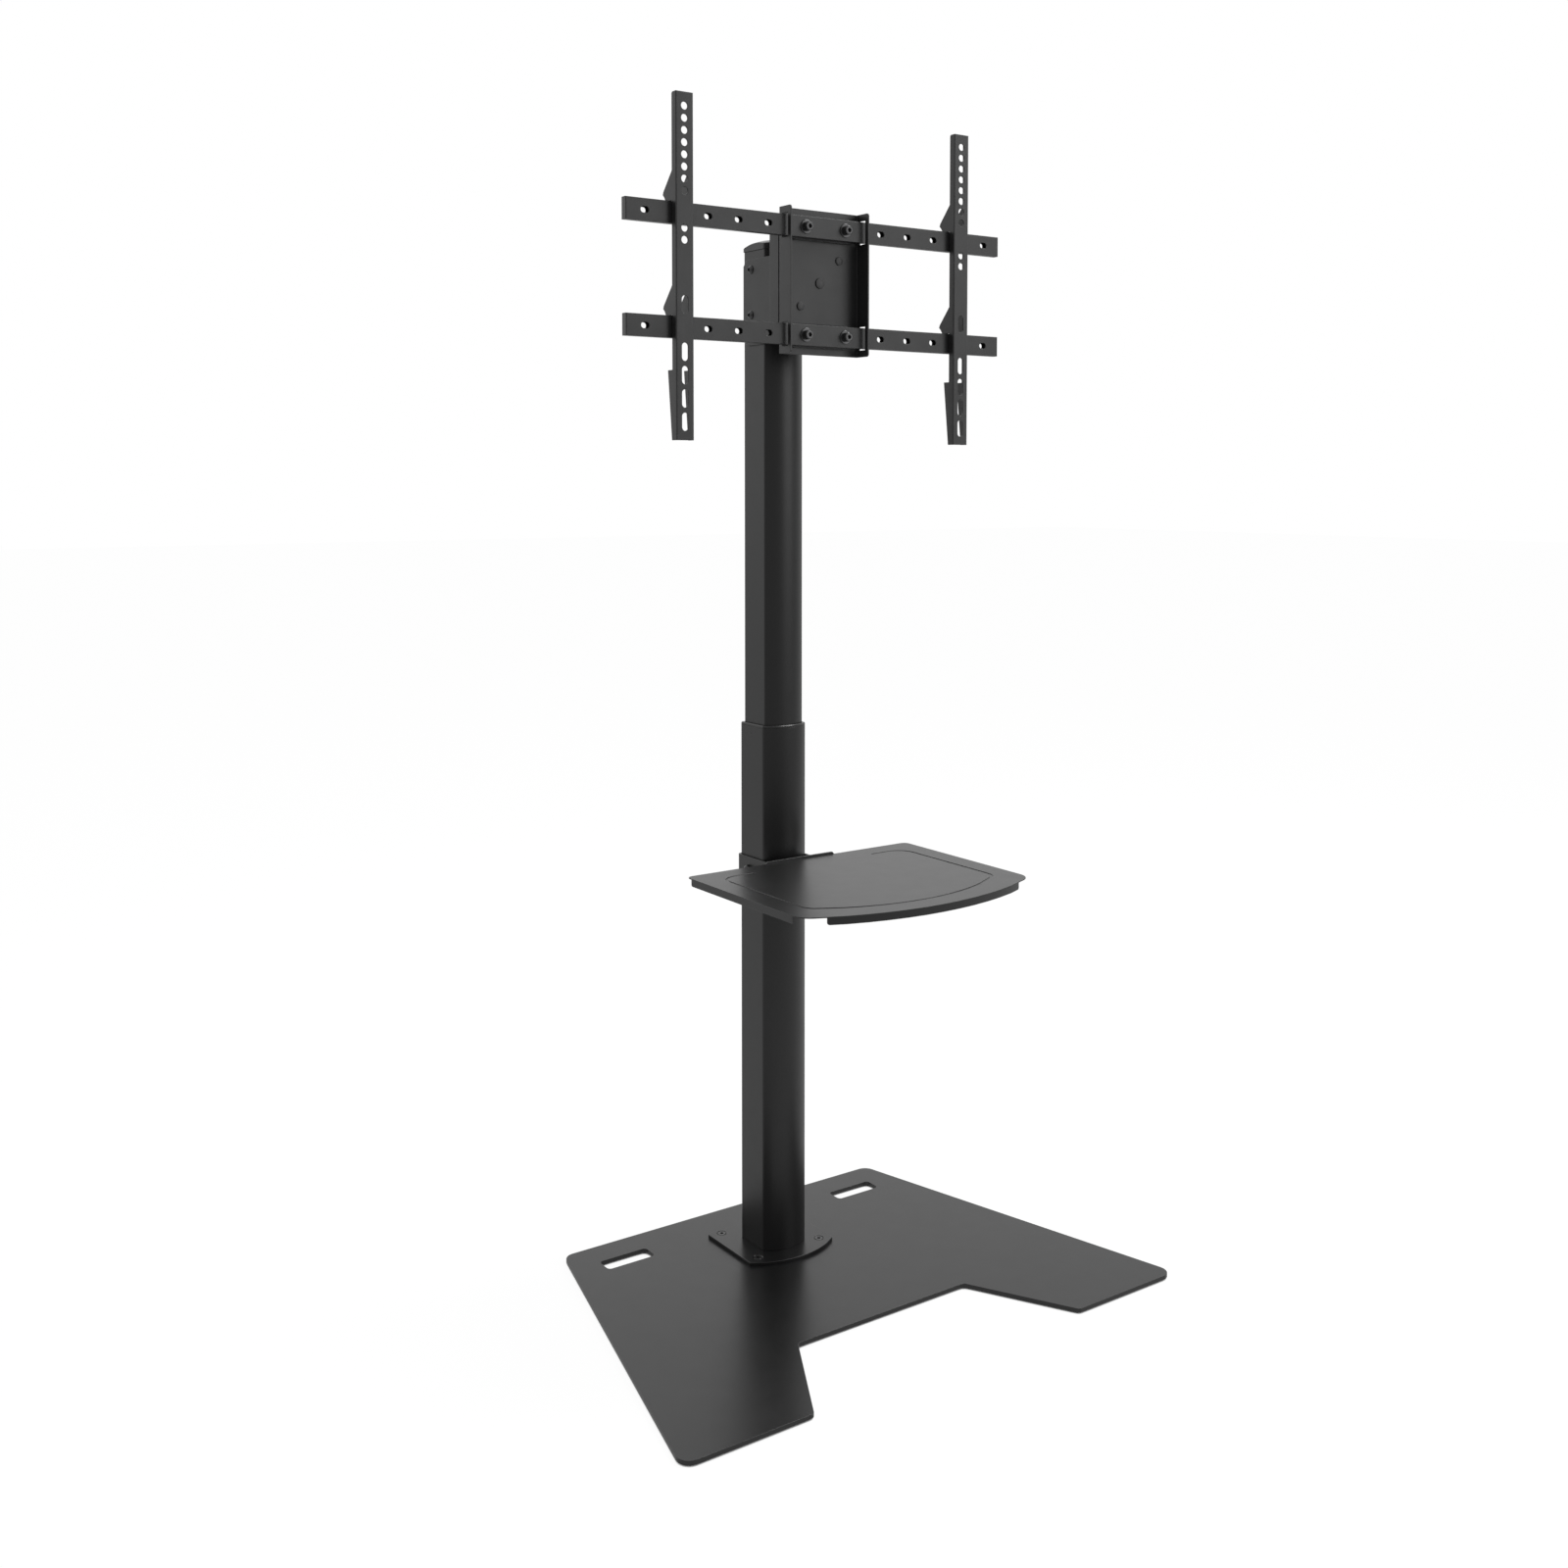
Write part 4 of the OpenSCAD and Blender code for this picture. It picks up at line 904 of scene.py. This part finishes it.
class STAND_OT_head_screws(StandOperator):
    """Makes the pivot bolt and the two lock screws on the tray floor"""
    bl_idname = "stand.head_screws"
    bl_label = "Pivot and Lock Screws"

    def execute(self, context):
        finish = materials()["sheet"]
        for node, (head_d, head_h, shank_d) in TRAY_SCREWS.items():
            middle, half = middle_and_half(node)
            radius, height = head_d * MM / 2, head_h * MM
            foot = middle.y - half.y + height
            # The pivot stands in the middle, the lock screws on a diagonal
            sides = (0,) if node == "pivot_bolt" else (-1, 1)
            spots = [(middle.x + side * (half.x - radius), foot,
                      middle.z + side * (half.z - radius)) for side in sides]
            rim_h = height * TRAY_SCREW_RIM
            fasten(node, screw_tree(), spots, {
                "Head Radius": radius, "Head Height": rim_h, "Crown": height - rim_h,
                "Chamfer": 0.25 * MM, "Has Socket": False, "Shank Radius": shank_d * MM / 2,
                "Shank Length": 2 * half.y - height, "Facing": FORWARD, "Finish": finish})
        return {"FINISHED"}


class STAND_OT_rails(StandOperator):
    """Dresses both rails and their end plugs"""
    bl_idname = "stand.rails"
    bl_label = "Rails"

    def execute(self, context):
        size = context.scene.stand_sizes
        look = materials()
        for node in ("top_rail", "bottom_rail"):
            dress(node, size.edge_round * RAIL_EDGE_SHARE, 3, look["sheet"], look["edge"])
        dress("rail_plugs", PLUG_ROUND, 2, look["plastic"])
        return {"FINISHED"}


class STAND_OT_rail_fasteners(StandOperator):
    """Makes the rail bolts, their washers and their nuts"""
    bl_idname = "stand.rail_fasteners"
    bl_label = "Rail Bolts and Washers"

    def execute(self, context):
        look = materials()
        middle, half = middle_and_half("rail_washers")
        radius = 10 * MM
        places = [(middle.x + sx * (half.x - radius), middle.z + sz * (half.z - radius))
                  for sx in (-1, 1) for sz in (-1, 1)]
        rear = middle.y + half.y
        fasten("rail_washers", ring_tree(), [(x, rear, z) for x, z in places], {
            "Outer Radius": radius, "Bore Radius": BOLT_RADIUS, "Height": 2 * half.y,
            "Chamfer": 0.6 * MM, "Facing": FORWARD, "Finish": look["screw"]})
        seat = middle.y - half.y
        middle, half = middle_and_half("rail_bolts")
        front = middle.y - half.y
        fasten("rail_bolts", screw_tree(), [(x, seat, z) for x, z in places], {
            "Head Radius": 6.5 * MM, "Head Height": seat - front, "Chamfer": 1.1 * MM,
            "Socket Flats": 6 * MM, "Socket Depth": 4 * MM, "Shank Radius": BOLT_RADIUS,
            "Shank Length": middle.y + half.y - seat, "Facing": FORWARD, "Finish": look["screw"]})
        keep("rail_nuts", look["zinc"])
        return {"FINISHED"}


class STAND_OT_arms(StandOperator):
    """Dresses both arms with their bends and cut edges"""
    bl_idname = "stand.arms"
    bl_label = "Arms"

    def execute(self, context):
        size = context.scene.stand_sizes
        look = materials()
        for node in ("left_arm", "right_arm"):
            dress(node, size.bend_round, 3, look["sheet"], look["edge"], bend_rule(node, 0))
        return {"FINISHED"}


class STAND_OT_shelf(StandOperator):
    """Dresses the pressed shelf, its bracket and its collar"""
    bl_idname = "stand.shelf"
    bl_label = "Shelf, Bracket and Collar"

    def execute(self, context):
        size = context.scene.stand_sizes
        look = materials()
        for node, (finish, share) in SHELF_PIECES.items():
            dress(node, size.edge_round * share, 2, look[finish], look["edge"])
        return {"FINISHED"}


class STAND_OT_shelf_locks(StandOperator):
    """Makes the shelf's lock screws and their nuts"""
    bl_idname = "stand.shelf_locks"
    bl_label = "Shelf Locks"

    def execute(self, context):
        for node in ("shelf_lock_nuts", "shelf_lock_screws"):
            dress(node, SHELF_LOCK_ROUND, 2, materials()["screw"])
        return {"FINISHED"}


# studio

def ramp(tree, value, ends, first, last):
    """One Map Range node that goes from first to last between two ends and stays there."""
    node = tree.nodes.new("ShaderNodeMapRange")
    tree.links.new(value, node.inputs["Value"])
    for label, number in zip(("From Min", "From Max", "To Min", "To Max"), (*ends, first, last)):
        node.inputs[label].default_value = number
    return node.outputs["Result"]


def depth_of(tree, output):
    """The Y part of one of the Texture Coordinate node's outputs."""
    place = tree.nodes.new("ShaderNodeTexCoord")
    split = tree.nodes.new("ShaderNodeSeparateXYZ")
    tree.links.new(place.outputs[output], split.inputs["Vector"])
    return split.outputs["Y"]


def seen_and_mirrored(tree):
    """Two sockets: 1 where the camera's own rays arrive, and 1 where reflected rays arrive."""
    path = tree.nodes.new("ShaderNodeLightPath")
    seen = maths(tree, "MAXIMUM", path.outputs["Is Camera Ray"],
                 path.outputs["Is Transmission Ray"])
    return seen, path.outputs["Is Glossy Ray"]


def place_camera(scene):
    """Sets up the camera of the photograph."""
    data = bpy.data.cameras.new("view_camera")
    camera = bpy.data.objects.new("view_camera", data)
    scene.collection.objects.link(camera)
    camera.location = CAMERA_PLACE
    camera.rotation_euler = (math.pi / 2 - CAMERA_PITCH, 0.0, -CAMERA_YAW)
    data.sensor_width = SENSOR_WIDTH
    data.lens = CAMERA_LENS
    data.shift_x, data.shift_y = CAMERA_SHIFT
    scene.camera = camera


def floor_paint(studio):
    """A white that keeps the shadows, has a painted contact shadow close under a piece, and is
    graded in reflections.
    """
    paint = bpy.data.materials.new("studio_floor_white")
    paint.use_nodes = True
    tree = paint.node_tree
    tree.nodes.clear()
    matt = tree.nodes.new("ShaderNodeBsdfDiffuse")
    matt.inputs["Color"].default_value = FLOOR_COLOUR
    glow = tree.nodes.new("ShaderNodeEmission")
    blend = tree.nodes.new("ShaderNodeMixShader")
    result = tree.nodes.new("ShaderNodeOutputMaterial")
    seen, mirrored = seen_and_mirrored(tree)
    # Painted contact shadow: ambient occlusion dims the floor's glow for the camera close under a
    # piece
    contact_shadow = tree.nodes.new("ShaderNodeAmbientOcclusion")
    contact_shadow.samples = CONTACT_SHADOW_SAMPLES
    contact_shadow.inputs["Distance"].default_value = studio.contact_shadow_reach
    seen_white_shadowed = ramp(tree, contact_shadow.outputs["AO"], CONTACT_SHADOW_FADE, 0.0, studio.floor_glow)
    mirrored_white = ramp(tree, depth_of(tree, "Object"), FLOOR_FADE,
                          studio.mirrored_front, studio.mirrored_back)

    def by_ray(if_seen, if_mirrored):
        """One value for the camera's rays, another for reflected rays, and 0 for the rest."""
        return maths(tree, "ADD", times(tree, seen, if_seen), times(tree, mirrored, if_mirrored))

    link = tree.links.new
    link(by_ray(seen_white_shadowed, mirrored_white), glow.inputs["Strength"])
    link(by_ray(studio.floor_white, studio.floor_mirrored), blend.inputs["Fac"])
    link(matt.outputs["BSDF"], blend.inputs[1])
    link(glow.outputs["Emission"], blend.inputs[2])
    link(blend.outputs["Shader"], result.inputs["Surface"])
    return paint


def lay_floor(scene, studio):
    """Lays the studio's floor under the stand."""
    reach = studio.floor_size / 2
    low = CAD_BOX[0][2]
    mesh = bpy.data.meshes.new("studio_floor")
    corners = [(x * reach, y * reach, low) for x, y in ((-1, -1), (1, -1), (1, 1), (-1, 1))]
    mesh.from_pydata(corners, [], [(0, 1, 2, 3)])
    mesh.materials.append(floor_paint(studio))
    floor = bpy.data.objects.new("studio_floor", mesh)
    scene.collection.objects.link(floor)


def hang_backdrop(scene, studio):
    """Makes the world: white to the camera, graded in reflections, and even light on the stand."""
    world = bpy.data.worlds.new("studio_white")
    world.use_nodes = True
    scene.world = world
    tree = world.node_tree
    shine = tree.nodes["Background"]
    shine.inputs["Color"].default_value = (1.0, 1.0, 1.0, 1.0)
    seen, mirrored = seen_and_mirrored(tree)
    side = ramp(tree, depth_of(tree, "Generated"), ROOM_FADE,
                studio.mirrored_front, studio.mirrored_back)
    shown = maths(tree, "MAXIMUM", seen, times(tree, mirrored, side))
    other_rays = maths(tree, "SUBTRACT", 1.0, maths(tree, "MAXIMUM", seen, mirrored))
    room = times(tree, other_rays, studio.room_light)
    tree.links.new(maths(tree, "ADD", shown, room), shine.inputs["Strength"])


def area_lamp(name, place, size, power):
    """One soft rectangular lamp that isn't seen itself, turned towards the stand."""
    data = bpy.data.lights.new(name, "AREA")
    data.shape = "RECTANGLE"
    data.size, data.size_y = size
    data.energy = power
    lamp = bpy.data.objects.new(name, data)
    lamp.visible_camera = False
    lamp.location = place
    aim = Vector(LAMP_TARGET) - Vector(place)
    lamp.rotation_euler = aim.to_track_quat("-Z", "Y").to_euler()
    bpy.context.scene.collection.objects.link(lamp)


class STAND_OT_stage(StandOperator):
    """Sets up the camera, the pale floor, the backdrop and the soft studio light"""
    bl_idname = "stand.stage"
    bl_label = "Studio"

    def execute(self, context):
        scene = context.scene
        studio = scene.stand_studio
        scene.view_settings.view_transform = "Standard"
        place_camera(scene)
        lay_floor(scene, studio)
        hang_backdrop(scene, studio)
        area_lamp("key_lamp", *KEY_LAMP, studio.key_power)
        area_lamp("fill_lamp", *FILL_LAMP, studio.fill_power)
        return {"FINISHED"}


# panel and registration

GROUPS = (
    ("stand_sizes", StandSizes),
    ("stand_finishes", StandFinishes),
    ("stand_studio", StandStudio),
)

OPERATORS = (
    STAND_OT_base, STAND_OT_pads, STAND_OT_foot_screws, STAND_OT_column, STAND_OT_guides,
    STAND_OT_height_locks, STAND_OT_clamp, STAND_OT_turning, STAND_OT_tray, STAND_OT_head_screws,
    STAND_OT_rails, STAND_OT_rail_fasteners, STAND_OT_arms, STAND_OT_shelf, STAND_OT_shelf_locks,
    STAND_OT_stage,
)


class STAND_PT_panel(bpy.types.Panel):
    """Lists the stand's sizes, finishes and operators"""
    bl_idname = "STAND_PT_panel"
    bl_label = "Floor Stand"
    bl_space_type = "VIEW_3D"
    bl_region_type = "UI"
    bl_category = "Floor Stand"

    def draw(self, context):
        layout = self.layout
        for name, _ in GROUPS:
            group = getattr(context.scene, name)
            box = layout.box()
            for item in group.bl_rna.properties:
                if item.identifier not in {"rna_type", "name"}:
                    box.prop(group, item.identifier)
        for operator in OPERATORS:
            layout.operator(operator.bl_idname)


def register():
    """Adds the property groups to the scene, then the operators and the panel."""
    for name, group in GROUPS:
        bpy.utils.register_class(group)
        setattr(bpy.types.Scene, name, bpy.props.PointerProperty(type=group))
    for kind in (*OPERATORS, STAND_PT_panel):
        bpy.utils.register_class(kind)


def unregister():
    """Takes away what register adds, in the opposite order."""
    for kind in reversed((*OPERATORS, STAND_PT_panel)):
        bpy.utils.unregister_class(kind)
    for name, group in reversed(GROUPS):
        delattr(bpy.types.Scene, name)
        bpy.utils.unregister_class(group)


def main():
    """Runs every operator in order."""
    register()
    for operator in OPERATORS:
        group, name = operator.bl_idname.split(".")
        getattr(getattr(bpy.ops, group), name)()


if __name__ == "__main__":
    main()
